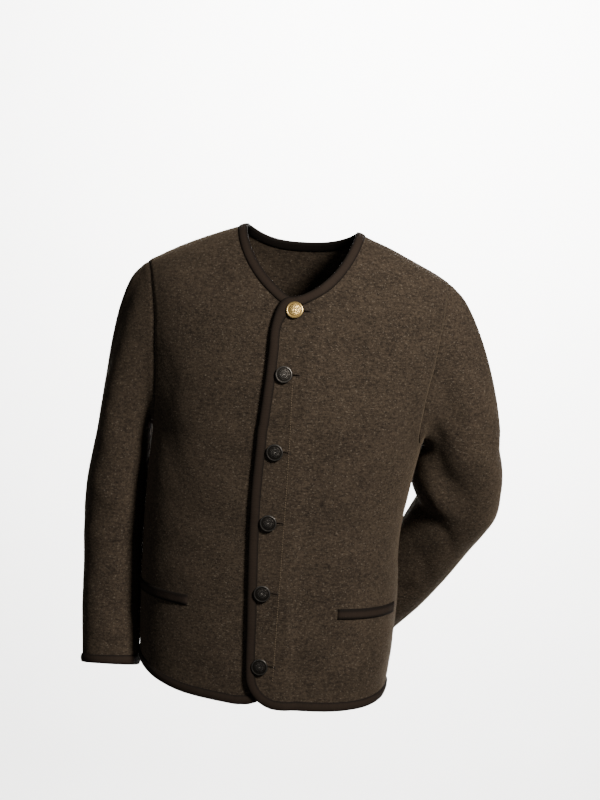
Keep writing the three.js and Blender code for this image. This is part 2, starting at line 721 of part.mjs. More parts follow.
function sleeveSection(rows, index, angle) {
  const row = rows[index];
  const centre = point(row.x, row.y, row.z);
  const before = rows[Math.max(index - 1, 0)];
  const after = rows[Math.min(index + 1, rows.length - 1)];
  const axis = point(after.x - before.x, after.y - before.y, after.z - before.z).normalize();
  const across = point(0, 1, 0).cross(axis).normalize();
  const deep = axis.clone().cross(across).normalize();
  const power = 2 / SLEEVE_ROUNDNESS;
  const wave = (value) => Math.sign(value) * Math.abs(value) ** power;
  return {
    spot: moved(moved(centre, across, row.wide * wave(Math.cos(angle))), deep,
      row.deep * wave(Math.sin(angle))),
    axis,
    across,
    deep,
  };
}

// The angle round a sleeve section at which each armhole station comes down.
function stationAngle(side, stations, index) {
  const middle = stations.reduce((sum, { spot }) => sum.add(spot), point(0, 0, 0))
    .divideScalar(stations.length);
  const { spot } = stations[index];
  const height = (spot.z - middle.z) / ARMHOLE_HALF.height;
  const depth = (spot.y - middle.y) / ARMHOLE_HALF.depth;
  return Math.atan2(depth, -side * height);
}

function sleeveNet(side) {
  const name = side > 0 ? 'left' : 'right';
  const rows = SLEEVES[name];
  const stations = armholeStations(side);
  const base = stations.map((station, index) => {
    const angle = stationAngle(side, stations, index);
    const along = stations[(index + 1) % stations.length].spot.clone()
      .sub(stations[(index + stations.length - 1) % stations.length].spot).normalize();
    const away = along.clone().cross(station.normal).multiplyScalar(side).normalize();
    const start = moved(station.spot, away, GAP);
    away.y *= CAP_TURN;
    away.normalize();
    const section = sleeveSection(rows, 0, angle);
    const span = start.distanceTo(section.spot);
    const column = [start];
    for (let ring = 1; ring < CAP_RINGS; ring += 1) {
      const share = ring / CAP_RINGS;
      column.push(hermite(start, away, section.spot, section.axis, share,
        CAP_FULLNESS[name] * (CAP_SPAN * span + CAP_START)));
    }
    return [...column, ...rows.map((_, row) => sleeveSection(rows, row, angle).spot)];
  });
  const net = { base, wrap: true };
  net.normal = netNormals(net, side);
  stations.forEach((station, index) => {
    net.normal[index][0] = station.normal;
  });
  // The folds fade out round the back of the sleeve.
  net.lift = base.map((column, i) => column.map((place, row) => (row === 0 ? 0
    : foldHeight(`sleeve_${name}`, place) * smooth(-net.normal[i][row].y, -0.2, 0.5))));
  return net;
}

function hermite(start, leave, end, arrive, share, strength) {
  const s2 = share * share;
  const s3 = s2 * share;
  return point(0, 0, 0)
    .addScaledVector(start, 2 * s3 - 3 * s2 + 1)
    .addScaledVector(leave, (s3 - 2 * s2 + share) * strength)
    .addScaledVector(end, 3 * s2 - 2 * s3)
    .addScaledVector(arrive, (s3 - s2) * strength);
}

// Directions square to a wrapped net, from its neighbouring places.
function netNormals(net, side) {
  const size = net.base.length;
  return net.base.map((column, i) => column.map((_, j) => {
    const last = column.length - 1;
    const round = net.base[(i + 1) % size][j].clone().sub(net.base[(i + size - 1) % size][j]);
    const along = column[Math.min(j + 1, last)].clone().sub(column[Math.max(j - 1, 0)]);
    return round.cross(along).multiplyScalar(-side).normalize();
  }));
}

// ---------------------------------------------------------------- buttons and their holes
function buttonPlace(z) {
  const x = curve(FRONT_LINE, 'z', 'buttons', z);
  const { turn, rise } = placeAt(-1, x, z);
  const { normal } = bodyDirections(-1, turn, rise);
  return { spot: bodyPoint(-1, turn, rise), normal };
}

function buttonGeometry() {
  const back = LAP_LIFT + TAPE + 2.6 * GAP + 0.8;
  const profile = [
    [0, GAP], [BUTTON.shank, GAP], [BUTTON.shank, back], [BUTTON.radius - 1.5, back],
    [BUTTON.radius, back + 1.2], [BUTTON.radius - 0.6, back + BUTTON.rim],
    [BUTTON.radius - 2.2, back + BUTTON.middle], [0, back + BUTTON.middle + 0.7],
  ];
  const outline = profile.map(([x, y]) => new THREE.Vector2(x, y));
  const geometry = new THREE.LatheGeometry(outline, LATHE_STEPS);
  geometry.deleteAttribute('normal');
  geometry.deleteAttribute('uv');
  return facingOut(mergeVertices(geometry, 1e-4));
}

const wasm = await Module();
wasm.setup();

function solid(geometry) {
  const merged = geometry.clone();
  for (const name of Object.keys(merged.attributes)) {
    if (name !== 'position') merged.deleteAttribute(name);
  }
  const tidy = mergeVertices(merged, 1e-4);
  return new wasm.Manifold(new wasm.Mesh({
    numProp: 3,
    vertProperties: new Float32Array(tidy.attributes.position.array),
    triVerts: new Uint32Array(tidy.index.array),
  }));
}

function fromSolid(body) {
  const { vertProperties, triVerts } = body.getMesh();
  const geometry = new THREE.BufferGeometry();
  geometry.setAttribute('position', new THREE.BufferAttribute(vertProperties.slice(), 3));
  geometry.setIndex([...triVerts]);
  return geometry;
}

function withButtonholes(geometry) {
  let body = solid(geometry);
  for (const z of BUTTON_HEIGHTS) {
    const { spot, normal } = buttonPlace(z);
    const slit = new THREE.BoxGeometry(BUTTONHOLE.length, BUTTONHOLE.height, 16);
    slit.translate(BUTTONHOLE.start + BUTTONHOLE.length / 2, 0, LAP_LIFT);
    slit.applyQuaternion(facing(normal));
    slit.translate(spot.x, spot.y, spot.z);
    body = body.subtract(solid(slit));
  }
  return fromSolid(body);
}

// A turn that takes +Z to the given direction and keeps +X level.
function facing(normal) {
  const across = point(0, 0, 1).cross(normal).normalize();
  const up = normal.clone().cross(across);
  return new THREE.Quaternion().setFromRotationMatrix(
    new THREE.Matrix4().makeBasis(across, up, normal),
  );
}

// ---------------------------------------------------------------- the garment
const garment = new THREE.Group();

function add(name, geometry, colour, metalness = 0) {
  const material = new THREE.MeshStandardMaterial({
    color: colour, roughness: metalness ? 0.4 : 0.95, metalness,
  });
  const mesh = new THREE.Mesh(geometry, material);
  mesh.name = name;
  garment.add(mesh);
  return mesh;
}

const nets = { front_left: frontNet(1), front_right: frontNet(-1), back: backNet() };
add('front_left', withButtonholes(wall(nets.front_left, 0, -CLOTH)), COLOURS.wool);
add('front_right', wall(nets.front_right, 0, -CLOTH), COLOURS.wool);
add('back', wall(nets.back, 0, -CLOTH), COLOURS.wool);

// Each front's binding runs along the hem, round the corner, up the edge and the neckline.
for (const name of ['left', 'right']) {
  const net = nets[`front_${name}`];
  const columns = net.base.length;
  const rows = net.base[0].length;
  const hem = count(columns - 1).map((i) => [[columns - 1 - i, 0], [columns - 1 - i, 1]]);
  const edge = count(rows - 1).map((j) => [[0, j + 1], [1, j + 1]]);
  add(`front_binding_${name}`, binding(net, [...hem, [[0, 0], [1, 1]], ...edge]), COLOURS.tape);
  add(`pocket_welt_${name}`, wall(net, GAP + POCKET.thickness, GAP,
    [4, 4 + SIDE_COLUMNS - 1], [3, 4]), COLOURS.tape);
}

const backColumns = nets.back.base.length;
const backRows = nets.back.base[0].length;
add('neck_binding_back', binding(nets.back, count(backColumns).map(
  (i) => [[i, backRows - 1], [i, backRows - 2]],
)), COLOURS.tape);
add('hem_binding_back', binding(nets.back, count(backColumns).map((i) => [[i, 0], [i, 1]])),
  COLOURS.tape);

for (const [name, side] of [['left', 1], ['right', -1]]) {
  const net = sleeveNet(side);
  const last = net.base[0].length - 1;
  add(`sleeve_${name}`, wall(net, 0, -CLOTH), COLOURS.woolDeep);
  add(`cuff_binding_${name}`, binding(net, count(net.base.length).map(
    (i) => [[i, last], [i, last - 1]],
  ), true), COLOURS.tape);
}

BUTTON_HEIGHTS.forEach((z, index) => {
  const { spot, normal } = buttonPlace(z);
  const mesh = add(`button_${index + 1}`, buttonGeometry(),
    index === 0 ? COLOURS.brass : COLOURS.patina, 0.9);
  mesh.geometry.rotateX(Math.PI / 2);
  mesh.position.copy(spot);
  mesh.quaternion.copy(facing(normal));
});

export default garment;
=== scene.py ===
"""A man's boiled-wool cardigan jacket as it is worn: felted cloth shells with creases,
knitted bindings, worked buttonholes and six metal buttons. Lengths are worked out
in millimetres on the body's surface and written into the meshes in metres."""
import math
import bpy
import bmesh
import numpy as np
from mathutils import Matrix, Vector


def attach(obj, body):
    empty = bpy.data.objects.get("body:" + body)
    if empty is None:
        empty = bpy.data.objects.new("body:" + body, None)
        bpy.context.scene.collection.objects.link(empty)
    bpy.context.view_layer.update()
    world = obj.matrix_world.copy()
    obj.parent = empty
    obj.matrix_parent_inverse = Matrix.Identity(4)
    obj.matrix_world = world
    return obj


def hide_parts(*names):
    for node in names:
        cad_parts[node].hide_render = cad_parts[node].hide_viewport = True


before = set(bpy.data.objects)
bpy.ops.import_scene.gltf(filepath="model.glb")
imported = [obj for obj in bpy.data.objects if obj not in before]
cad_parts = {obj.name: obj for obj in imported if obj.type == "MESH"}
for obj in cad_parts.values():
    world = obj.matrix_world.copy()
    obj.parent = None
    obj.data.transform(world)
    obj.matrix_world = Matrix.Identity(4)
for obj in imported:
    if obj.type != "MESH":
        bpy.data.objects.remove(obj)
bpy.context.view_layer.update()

# ---------------------------------------------------------------- fronts
# The left and the right front: each is one panel of boiled wool, a thick felted knit, cut
# from the hem to the shoulder seam. The left one laps over the right one and is buttoned to
# it, and both are sewn to the back at the side and the shoulder.
CLOTH, BAND, CORNER = 2.6, 13.0, 50.0   # wall, binding's width, radius of the hem's corner
CELL = 4.0                              # of the mesh


def curve(table, column, value):
    """A smooth curve through one column of a table, at a value of its first column."""
    last = len(table) - 1
    row = 0
    while row < last - 1 and value > table[row + 1][0]:
        row += 1
    here, ahead = table[row], table[row + 1]
    before, after = table[max(row - 1, 0)], table[min(row + 2, last)]
    span = ahead[0] - here[0]
    share = min(max((value - here[0]) / span, 0), 1)
    rise = ahead[column] - here[column]
    leave = (ahead[column] - before[column]) / (ahead[0] - before[0]) * span - rise
    arrive = rise - (after[column] - here[column]) / (after[0] - here[0]) * span
    return here[column] + share * rise + share * (1 - share) * ((1 - share) * leave
                                                                + share * arrive)


def smooth(value, low, high):
    share = min(max((value - low) / (high - low), 0), 1)
    return share * share * (3 - 2 * share)


def mix(a, b, share):
    return a + (b - a) * share


def blend_places(a, b, share):
    return mix(a[0], b[0], share), mix(a[1], b[1], share)


def sign(value):
    return (value > 0) - (value < 0)


# A place on the body's surface is (turn, rise): degrees round from the centre line, and
# millimetres below the underarm or, above it, degrees up to the shoulder ridge. Face -1 is
# the front, and side -1 the wearer's right.
UNDERARM = -300.0
# half-width, roundness, middle and depth of each front's own neck curve
NECK_REACH = {1: (85, 2.8, -30, 106.5), -1: (77, 2.5, 40, 106.5)}
# tip, drop and bow of each shoulder's slope; both slopes blend into one over the MEETING
SHOULDER = {1: (224, 62, 2), -1: (222, 66.5, 4)}
CROWN, SOFTNESS, MEETING = 5, 60, 60


def ridge_height(x):
    slopes = []
    for side in (-1, 1):
        tip, drop, bow = SHOULDER[side]
        neck = math.hypot(NECK_REACH[side][0], SOFTNESS)
        share = (math.hypot(x, SOFTNESS) - neck) / (math.hypot(tip, SOFTNESS) - neck)
        slopes.append(CROWN + 4 * bow * max(share * (1 - share), 0) - drop * share)
    return mix(*slopes, smooth(x, -MEETING, MEETING))


# z, left, right, front, back
SECTIONS = [(-760, 180, 186, 133, 127), (-670, 182, 189, 135, 125), (-610, 186, 193, 136, 120),
            (-535, 188, 196, 137, 112), (-445, 184, 198, 138, 109), (-360, 194, 197, 138, 115),
            (-300, 205, 195, 137, 118), (-240, 214, 199, 136, 118)]
# rise, left, right
YOKE = [(0, 205, 195), (15, 219, 205), (35, 233, 215), (60, 237, 223), (90, 231, 228)]


def half_width(side, rise):
    column = 2 if side < 0 else 1
    if rise <= 0:
        return curve(SECTIONS, column, UNDERARM + rise)
    return curve(YOKE, column, rise)


ROUNDNESS = {-1: 2.4, 1: 2.3}
# the shoulders sit back a little, and their section grows rounder on top towards the tip
SETBACK, TIP_ROUND, ROUND_FROM = 8, 0.38, 100


def body_point(face, turn, rise):
    power = 2 / ROUNDNESS[face]
    angle = math.radians(min(abs(turn), 90))
    x = sign(turn) * half_width(turn, rise) * math.sin(angle) ** power
    z = UNDERARM + min(rise, 0)
    depth = face * max(math.cos(angle), 0) ** power * curve(SECTIONS, 3 if face < 0 else 4, z)
    if rise <= 0:
        return Vector((x, depth, z))
    lift = math.radians(rise)
    back = SETBACK * smooth(abs(x), NECK_REACH[-1][0], SHOULDER[-1][0])
    # the shoulder's section grows rounder on top towards its tip
    sharp = 1 - TIP_ROUND * smooth(abs(x), ROUND_FROM, SHOULDER[-1][0])
    return Vector((x, back + (depth - back) * max(math.cos(lift), 0) ** sharp,
                   UNDERARM + (ridge_height(x) - UNDERARM) * math.sin(lift)))


def beyond(face, turn, rise):
    over, top = abs(turn) > 90, rise > 90
    return body_point(-face if over != top else face, sign(turn) * 180 - turn if over else turn,
                      180 - rise if top else rise)


def directions(face, turn, rise):
    step = 0.5
    across = beyond(face, turn + step, rise) - beyond(face, turn - step, rise)
    up = beyond(face, turn, rise + step) - beyond(face, turn, rise - step)
    return across, up, (up.cross(across) * face).normalized()


def turn_at(face, x, rise):
    share = min(abs(x) / half_width(x, rise), 1)
    return sign(x) * math.degrees(math.asin(share ** (ROUNDNESS[face] / 2)))


def place_at(face, x, z):
    if z <= UNDERARM:
        return turn_at(face, x, z - UNDERARM), z - UNDERARM
    rise = math.degrees(math.asin(min((z - UNDERARM) / (ridge_height(x) - UNDERARM), 1)))
    return turn_at(face, x, rise), rise


def slide(face, place, step):
    """A place moved over the surface by a short vector."""
    across, up, _ = directions(face, *place)
    aa, uu, au = across.dot(across), up.dot(up), across.dot(up)
    sa, su = step.dot(across), step.dot(up)
    area = aa * uu - au * au
    return (place[0] + (sa * uu - su * au) / area,
            min(place[1] + (su * aa - sa * au) / area, 90))


def evenly(face, line, steps):
    """Places shared out by length along a line of places."""
    fine = 200
    places = [line(index / fine) for index in range(fine + 1)]
    spots = [body_point(face, *place) for place in places]
    lengths = [0.0]
    for a, b in zip(spots, spots[1:]):
        lengths.append(lengths[-1] + (b - a).length)
    found = []
    for step in range(steps + 1):
        target = lengths[-1] * step / steps
        index = max(min(int(np.searchsorted(lengths, target)), fine), 1)
        share = (target - lengths[index - 1]) / (lengths[index] - lengths[index - 1])
        found.append(blend_places(places[index - 1], places[index], share))
    return found


NECK_BACK, NECK_BACK_POWER = 59, 2.2    # depth and roundness of the neckline behind


def neck_place(face, angle):
    side = sign(angle)
    reach, power, middle, depth = NECK_REACH[-1 if angle < 0 else 1]
    if face > 0:
        power, middle, depth = NECK_BACK_POWER, 0, NECK_BACK
    opened = math.radians(abs(angle))
    x = middle + side * (reach - side * middle) * math.sin(opened) ** (2 / power)
    y = depth * max(math.cos(opened), 0) ** (2 / power)
    rise = 60.0
    for _ in range(12):
        flat = abs(body_point(face, turn_at(face, x, rise), 0).y)
        rise = math.degrees(math.acos(min(y / flat, 1)))
    return turn_at(face, x, rise), rise


# rise, then the armhole's reach as a share of the half-width: left, right
ARMHOLE = [(0, 1, 1), (4, .972, .968), (12, .95, .935), (26, .935, .913), (45, .937, .915),
           (68, .955, .945), (90, .972, .975)]


def armhole_places(face, side, steps):
    last = ARMHOLE[-1][1 if side > 0 else 2] * half_width(side, 90)

    def line(share):
        rise = 90 * share ** 1.6
        reach = min(curve(ARMHOLE, 1 if side > 0 else 2, rise), 1)
        x = last if rise >= 90 else reach * half_width(side, rise)
        return turn_at(face, side * x, rise), rise
    return evenly(face, line, steps)


# share across, front, back
HEM = [(-1, -650, -650), (-.8, -654, -658), (-.55, -666, -668), (-.3, -675, -674),
       (0, -680, -677), (.3, -682, -678), (.6, -680, -677), (1, -670, -670)]


def hem_height(face, turn):
    return curve(HEM, 1 if face < 0 else 2, turn / 90)


def refine(face, line, counts):
    """A line of places drawn out smoothly, with counts[k] steps from its stop k on."""
    spots = [body_point(face, *place) for place in line]
    keys = [0.0]
    for a, b in zip(spots, spots[1:]):
        keys.append(keys[-1] + max((b - a).length, 1e-3))
    table = [(key, *place) for key, place in zip(keys, line)]
    fine = []
    for k, steps in enumerate(counts):
        for step in range(steps):
            value = mix(keys[k], keys[k + 1], step / steps)
            fine.append((curve(table, 1, value), curve(table, 2, value)))
    return fine + [line[-1]]


def finely(face, coarse, cell):
    """A coarse net of places made fine in both directions. It also gives the fine index of
    each coarse column and row."""
    spots = [[body_point(face, *place) for place in column] for column in coarse]
    wide, high = len(coarse), len(coarse[0])
    rows = [max(math.ceil(max((spots[i][j + 1] - spots[i][j]).length for i in range(wide))
                          / cell), 1) for j in range(high - 1)]
    columns = [max(math.ceil(max((spots[i + 1][j] - spots[i][j]).length for j in range(high))
                             / cell), 1) for i in range(wide - 1)]
    tall = [refine(face, column, rows) for column in coarse]
    across = [refine(face, [column[j] for column in tall], columns) for j in range(len(tall[0]))]
    fine = [[row[i] for row in across] for i in range(len(across[0]))]
    return fine, [sum(columns[:k]) for k in range(wide)], [sum(rows[:k]) for k in range(high)]


# Each is a soft trough (negative) or ridge along a line seen from the front or the back:
# piece, x, z, slope, length, width, depth.
CREASES = [
    ("sleeve_left", 240, -381, -50, 60, 13, 5), ("sleeve_left", 246, -342, -42, 60, 18, -6.5),
    ("sleeve_left", 225, -285, -66, 50, 13, -4), ("sleeve_left", 240, -215, -76, 75, 15, -3),
    ("sleeve_left", 250, -440, -52, 45, 10, -3), ("sleeve_left", 226, -500, -62, 55, 12, -2.5),
    ("sleeve_left", 264, -300, -74, 50, 16, 1.6), ("sleeve_left", 275, -385, -38, 34, 12, -1.5),
    ("sleeve_left", 200, -540, 20, 40, 11, -2.2),
    ("sleeve_right", -236, -300, 80, 90, 16, -4), ("sleeve_right", -262, -440, 35, 50, 14, -3),
    ("sleeve_right", -250, -405, -25, 50, 15, 2.4), ("sleeve_right", -266, -505, 50, 45, 12, -2.2),
    ("sleeve_right", -238, -560, -40, 46, 14, -2),
    ("sleeve_right", -246, -630, 12, 45, 12, -1.8),
    ("front_left", 186, -250, 84, 85, 18, -5), ("front_left", 168, -330, 66, 80, 20, -2.6),
    ("front_left", 110, -420, 24, 90, 24, -1.8), ("front_left", 150, -480, -18, 70, 20, 1.8),
    ("front_left", 96, -150, -64, 80, 24, -1.8), ("front_left", 60, -585, 82, 80, 22, 1.6),
    ("front_left", 150, -630, 80, 60, 20, 2.4), ("front_left", 60, -250, 88, 90, 30, 1.8),
    ("front_right", -170, -240, -82, 85, 20, -4), ("front_right", -150, -330, -62, 80, 20, -2.6),
    ("front_right", -96, -420, -20, 80, 24, -1.8), ("front_right", -100, -150, 62, 80, 24, -1.8),
    ("front_right", -60, -600, -84, 80, 22, 1.8), ("front_right", -140, -500, 14, 70, 20, 1.6),
    ("back", 150, -250, 76, 100, 20, -4), ("back", -150, -260, -74, 100, 20, -4),
    ("back", 60, -440, 16, 110, 22, -2.6), ("back", -70, -470, -14, 110, 24, -2.4),
    ("back", 0, -360, 4, 90, 22, 1.8), ("back", 70, -600, 86, 90, 26, 2.2),
    ("back", -80, -610, -85, 90, 26, 2), ("back", 0, -90, 0, 90, 20, -1.6)]


def crease(piece, spot):
    height = 0.0
    for name, x, z, slope, length, width, depth in CREASES:
        if name != piece:
            continue
        dx, dz = spot.x - x, spot.z - z
        cosine, sine = math.cos(math.radians(slope)), math.sin(math.radians(slope))
        along = (dx * cosine + dz * sine) / length
        if abs(along) < 1:
            off = dz * cosine - dx * sine + 5 * math.sin(3 * along + x)
            height += depth * (1 - along * along) ** 2 * math.exp(-(off / width) ** 2)
    # the felt is never quite flat
    return height + 0.35 * math.sin(spot.x / 17 + spot.z / 43 + spot.y / 29) \
        * math.sin(spot.z / 19 - spot.x / 37) + 0.14 * math.sin(spot.z / 6.1 + spot.x / 9.7) \
        * math.sin(spot.x / 7.3 - spot.y / 8.9)


# z, the left front's edge, the button line
FRONT_LINE = [(-700, -15, 2), (-613, -17, 2), (-525, -22, -2), (-411, -27, -1),
              (-350, -27.5, -.5), (-277, -25, 1), (-200, -20.5, 4), (-150, -19, 7),
              (-120, -17.5, 9.8), (-80, -6, 12.5)]
UNDERLAP = 25                           # of the right front past the button line
# z, x of the row of stitches that holds the facing
PLACKET = [(-645, 22), (-512, 21.5), (-400, 21), (-300, 20), (-235, 18), (-165, 15)]
# height of the lap, the way behind the button line over which it comes down, and the low
# ridge at the row of stitches
LAP_HEIGHT, LAP_FROM, LAP_TO, ROW_RIDGE, ROW_WIDTH = 6, 32, 55, 0.6, 5


def lap_lift(spot):
    """The left front lies over the right one and comes down behind the button line."""
    past = spot.x - curve(FRONT_LINE, 2, spot.z)
    off_row = (spot.x - curve(PLACKET, 1, spot.z)) / ROW_WIDTH
    return LAP_HEIGHT * (1 - smooth(past, LAP_FROM, LAP_TO)) + ROW_RIDGE * math.exp(-off_row ** 2)


# The net of a front: coarse rows up its edge and along its neckline, columns to the side.
EDGE_ROWS, NECK_ROWS, SIDE_COLUMNS = 6, 7, 5
ARM_ROWS = EDGE_ROWS + NECK_ROWS
POCKET = (-545, -529)
LEVELS = [*POCKET, -478, -425, -375, -335]
INSET = CORNER + 30                     # of the first column past the corner
FRONT_TURNS = (30.5, 78)                # of the first and the last column after that
NECK_FOOT = -85                         # where the edge runs into the neckline


def edge_at(side, z):
    return curve(FRONT_LINE, 1, z) if side > 0 else curve(FRONT_LINE, 2, z) + UNDERLAP


def corner_place(side, angle, radius):
    centre = hem_height(-1, 0) - side + CORNER
    inset = CORNER - radius * math.cos(math.radians(angle))
    return place_at(-1, edge_at(side, centre) + side * inset,
                    centre - radius * math.sin(math.radians(angle)))


def neck_strip(face, neckline, index):
    """The place a binding's width away from the neckline, square to it."""
    here = neckline[index]
    spots = [body_point(face, *place) for place in neckline]
    along = (spots[index + 1] - spots[max(index - 1, 0)]).normalized()
    down = along.cross(directions(face, *here)[2]).normalized()
    if (down.z > 0) if face < 0 else (down.y < 0):
        down.negate()
    step = down * BAND
    if face < 0 and index == 0:
        step += along * BAND
    return slide(face, here, step)


def ridge_step(place, side):
    target = body_point(-1, place[0], 90).x + side * BAND * 0.95
    return turn_at(-1, target, 90), 90.0


def front_places(side):
    """The coarse net of a front, column by column from its edge to the side seam."""
    centre = hem_height(-1, 0) - side + CORNER
    outer = [side * (90 if step == SIDE_COLUMNS
                     else mix(*FRONT_TURNS, step / (SIDE_COLUMNS - 1)))
             for step in range(SIDE_COLUMNS + 1)]
    insets = [0, BAND, CORNER, INSET]

    def spot(inset, z):
        return place_at(-1, edge_at(side, z) + side * inset, z)

    def hem(turn, above):
        return turn, hem_height(-1, turn) + above - UNDERARM
    hem_turns = [corner_place(side, 90, CORNER)[0], spot(INSET, centre)[0], *outer]
    rows = [
        [corner_place(side, 45, CORNER), corner_place(side, 67.5, CORNER),
         *[hem(turn, 0) for turn in hem_turns]],
        [corner_place(side, 22.5, CORNER), corner_place(side, 45, CORNER - BAND),
         *[hem(turn, BAND) for turn in hem_turns]],
        [*[spot(inset, centre) for inset in insets], *[hem(turn, CORNER) for turn in outer]]]
    for z in [*LEVELS, UNDERARM]:
        rows.append([*[spot(inset, z) for inset in insets],
                     *[(turn, z - UNDERARM) for turn in outer]])
    reach, power, middle, _ = NECK_REACH[side]
    share = abs(edge_at(side, NECK_FOOT) - middle) / (reach - side * middle)
    start = side * math.degrees(math.asin(share ** (power / 2)))
    neckline = evenly(-1, lambda share: neck_place(-1, mix(start, side * 90, share)), NECK_ROWS)
    corner_z = body_point(-1, *neckline[0]).z
    armhole = armhole_places(-1, side, ARM_ROWS)
    low = rows[-1]
    shares = [(turn - low[1][0]) / (side * 90 - low[1][0]) for turn, _ in low[1:]]
    for step in range(1, ARM_ROWS + 1):
        z = mix(UNDERARM, corner_z, step / EDGE_ROWS)
        rim = spot(0, z) if step < EDGE_ROWS else neckline[step - EDGE_ROWS]
        if step < EDGE_ROWS:
            strip = spot(BAND, z)
        elif step == ARM_ROWS:
            strip = ridge_step(neckline[-1], side)
        else:
            strip = neck_strip(-1, neckline, step - EDGE_ROWS)
        even = smooth(step, 0, ARM_ROWS)
        rows.append([rim, *[blend_places(strip, armhole[step], mix(
            share, index / (len(shares) - 1), even)) for index, share in enumerate(shares)]])
    return [[row[i] for row in rows] for i in range(len(rows[0]))]


def add_piece(name, mesh):
    """An object of a finished mesh. The whole garment is one body."""
    mesh.shade_smooth()
    piece = bpy.data.objects.new(name, mesh)
    bpy.context.scene.collection.objects.link(piece)
    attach(piece, "root")
    return piece


def outward(mesh):
    bm = bmesh.new()
    bm.from_mesh(mesh)
    if bm.calc_volume(signed=True) < 0:
        bmesh.ops.reverse_faces(bm, faces=bm.faces)
    bm.to_mesh(mesh)
    bm.free()


def new_piece(name, points, faces, uvs=None, closed=True):
    """A piece from millimetre points; uvs holds one pair for each face corner."""
    mesh = bpy.data.meshes.new(name)
    mesh.from_pydata([tuple(0.001 * value for value in point) for point in points], [], faces)
    if uvs is not None:
        layer = mesh.uv_layers.new(name="cloth")
        layer.data.foreach_set("uv", [value for pair in uvs for value in pair])
    if closed:
        outward(mesh)
    return add_piece(name, mesh)


def shell(name, upper, lower, uv, around=0.0):
    """A closed thin wall between two grids of points. around is the texture's length round
    it where the grid closes on itself."""
    wide, high = len(upper), len(upper[0])
    points = [point for grid in (upper, lower) for column in grid for point in column]
    faces, corners = [], []

    def add(cells, flip):
        order = cells[::-1] if flip else cells
        faces.append([layer * wide * high + (i % wide) * high + j for layer, i, j in order])
        for _, i, j in order:
            u, v = uv(i % wide, j)
            corners.append(((u + around * (i // wide)) * 0.001, v * 0.001))
    ends = wide if around else wide - 1
    for i in range(ends):
        for j in range(high - 1):
            ring = [(i, j), (i + 1, j), (i + 1, j + 1), (i, j + 1)]
            add([(0, *cell) for cell in ring], False)
            add([(1, *cell) for cell in ring], True)
        add([(0, i, 0), (1, i, 0), (1, i + 1, 0), (0, i + 1, 0)], False)
        add([(0, i, high - 1), (1, i, high - 1), (1, i + 1, high - 1), (0, i + 1, high - 1)], True)
    if not around:
        for j in range(high - 1):
            add([(0, 0, j), (1, 0, j), (1, 0, j + 1), (0, 0, j + 1)], True)
            add([(0, ends, j), (1, ends, j), (1, ends, j + 1), (0, ends, j + 1)], False)
    return new_piece(name, points, faces, corners)


def seam_dent(gap):
    """Cloth sinks by 1.1 mm where it is sewn to its neighbour, with a low roll beside it."""
    return -1.1 * math.exp(-(gap / 3.2) ** 2) + 0.35 * math.exp(-((gap - 8) / 4) ** 2)


TURN_LENGTH, RISE_LENGTH = 3.0, 5.3     # cloth for one degree


def body_uv(place):
    """Texture lengths on the body: round it and up it."""
    return TURN_LENGTH * place[0], place[1] * (RISE_LENGTH if place[1] > 0 else 1)


class Sock:
    """A shader value that takes part in sums and products."""

    def __init__(self, paint, socket):
        self.paint, self.socket = paint, socket

    def maths(self, operation, *values):
        node = self.paint.node("ShaderNodeMath", {"operation": operation},
                               dict(enumerate(values)))
        return Sock(self.paint, node.outputs[0])

    def __add__(self, other):
        return self.maths("ADD", self, other)

    def __sub__(self, other):
        return self.maths("SUBTRACT", self, other)

    def __rsub__(self, other):
        return self.maths("SUBTRACT", other, self)

    def __mul__(self, other):
        return self.maths("MULTIPLY", self, other)

    def __abs__(self):
        return self.maths("ABSOLUTE", self)
    __radd__, __rmul__ = __add__, __mul__

    def between(self, low, high):
        """The value's smooth way from nought at low to one at high."""
        node = self.paint.node("ShaderNodeMapRange", {"interpolation_type": "SMOOTHSTEP"},
                               {"Value": self, "From Min": low, "From Max": high})
        return Sock(self.paint, node.outputs["Result"])


class Paint:
    """A material under construction round one Principled shader."""

    def __init__(self, name, roughness, metallic=0.0, specular=0.15, sheen=0.0):
        self.material = bpy.data.materials.new(name)
        self.material.use_nodes = True
        self.tree = self.material.node_tree
        self.shader = self.tree.nodes["Principled BSDF"]
        self.feed({"Roughness": roughness, "Metallic": metallic,
                   "Specular IOR Level": specular, "Sheen Weight": sheen,
                   "Sheen Roughness": 0.5})

    def feed(self, inputs, node=None):
        """Values and links of a node's sockets, the shader's own unless told otherwise."""
        for key, value in inputs.items():
            socket = (node or self.shader).inputs[key]
            value = value.socket if isinstance(value, Sock) else value
            if isinstance(value, bpy.types.NodeSocket):
                self.tree.links.new(value, socket)
            else:
                socket.default_value = value

    def node(self, kind, settings, inputs):
        """A node of one kind, with its settings and then its sockets' values or links."""
        node = self.tree.nodes.new(kind)
        for key, value in settings.items():
            setattr(node, key, value)
        self.feed(inputs, node)
        return node

    def coords(self, which):
        return self.node("ShaderNodeTexCoord", {}, {}).outputs[which]

    def noise(self, coords, scale, detail=2.0):
        stretched = self.node("ShaderNodeMapping", {}, {"Vector": coords, "Scale": scale})
        node = self.node("ShaderNodeTexNoise", {}, {
            "Vector": stretched.outputs["Vector"], "Scale": 1.0, "Detail": detail,
            "Roughness": 0.5})
        return Sock(self, node.outputs["Fac"])

    def attribute(self, name):
        return Sock(self, self.node("ShaderNodeAttribute", {"attribute_name": name},
                                    {}).outputs["Fac"])

    def mix(self, share, a, b):
        """A colour between two, each a colour or another mix."""
        a, b = [(*colour, 1) if isinstance(colour, tuple) else colour for colour in (a, b)]
        return self.node("ShaderNodeMix", {"data_type": "RGBA"},
                         {"Factor": share, 6: a, 7: b}).outputs[2]

    def bump(self, height, distance, strength=1.0):
        node = self.node("ShaderNodeBump", {}, {"Distance": distance, "Strength": strength,
                                                "Height": height})
        self.feed({"Normal": node.outputs["Normal"]})


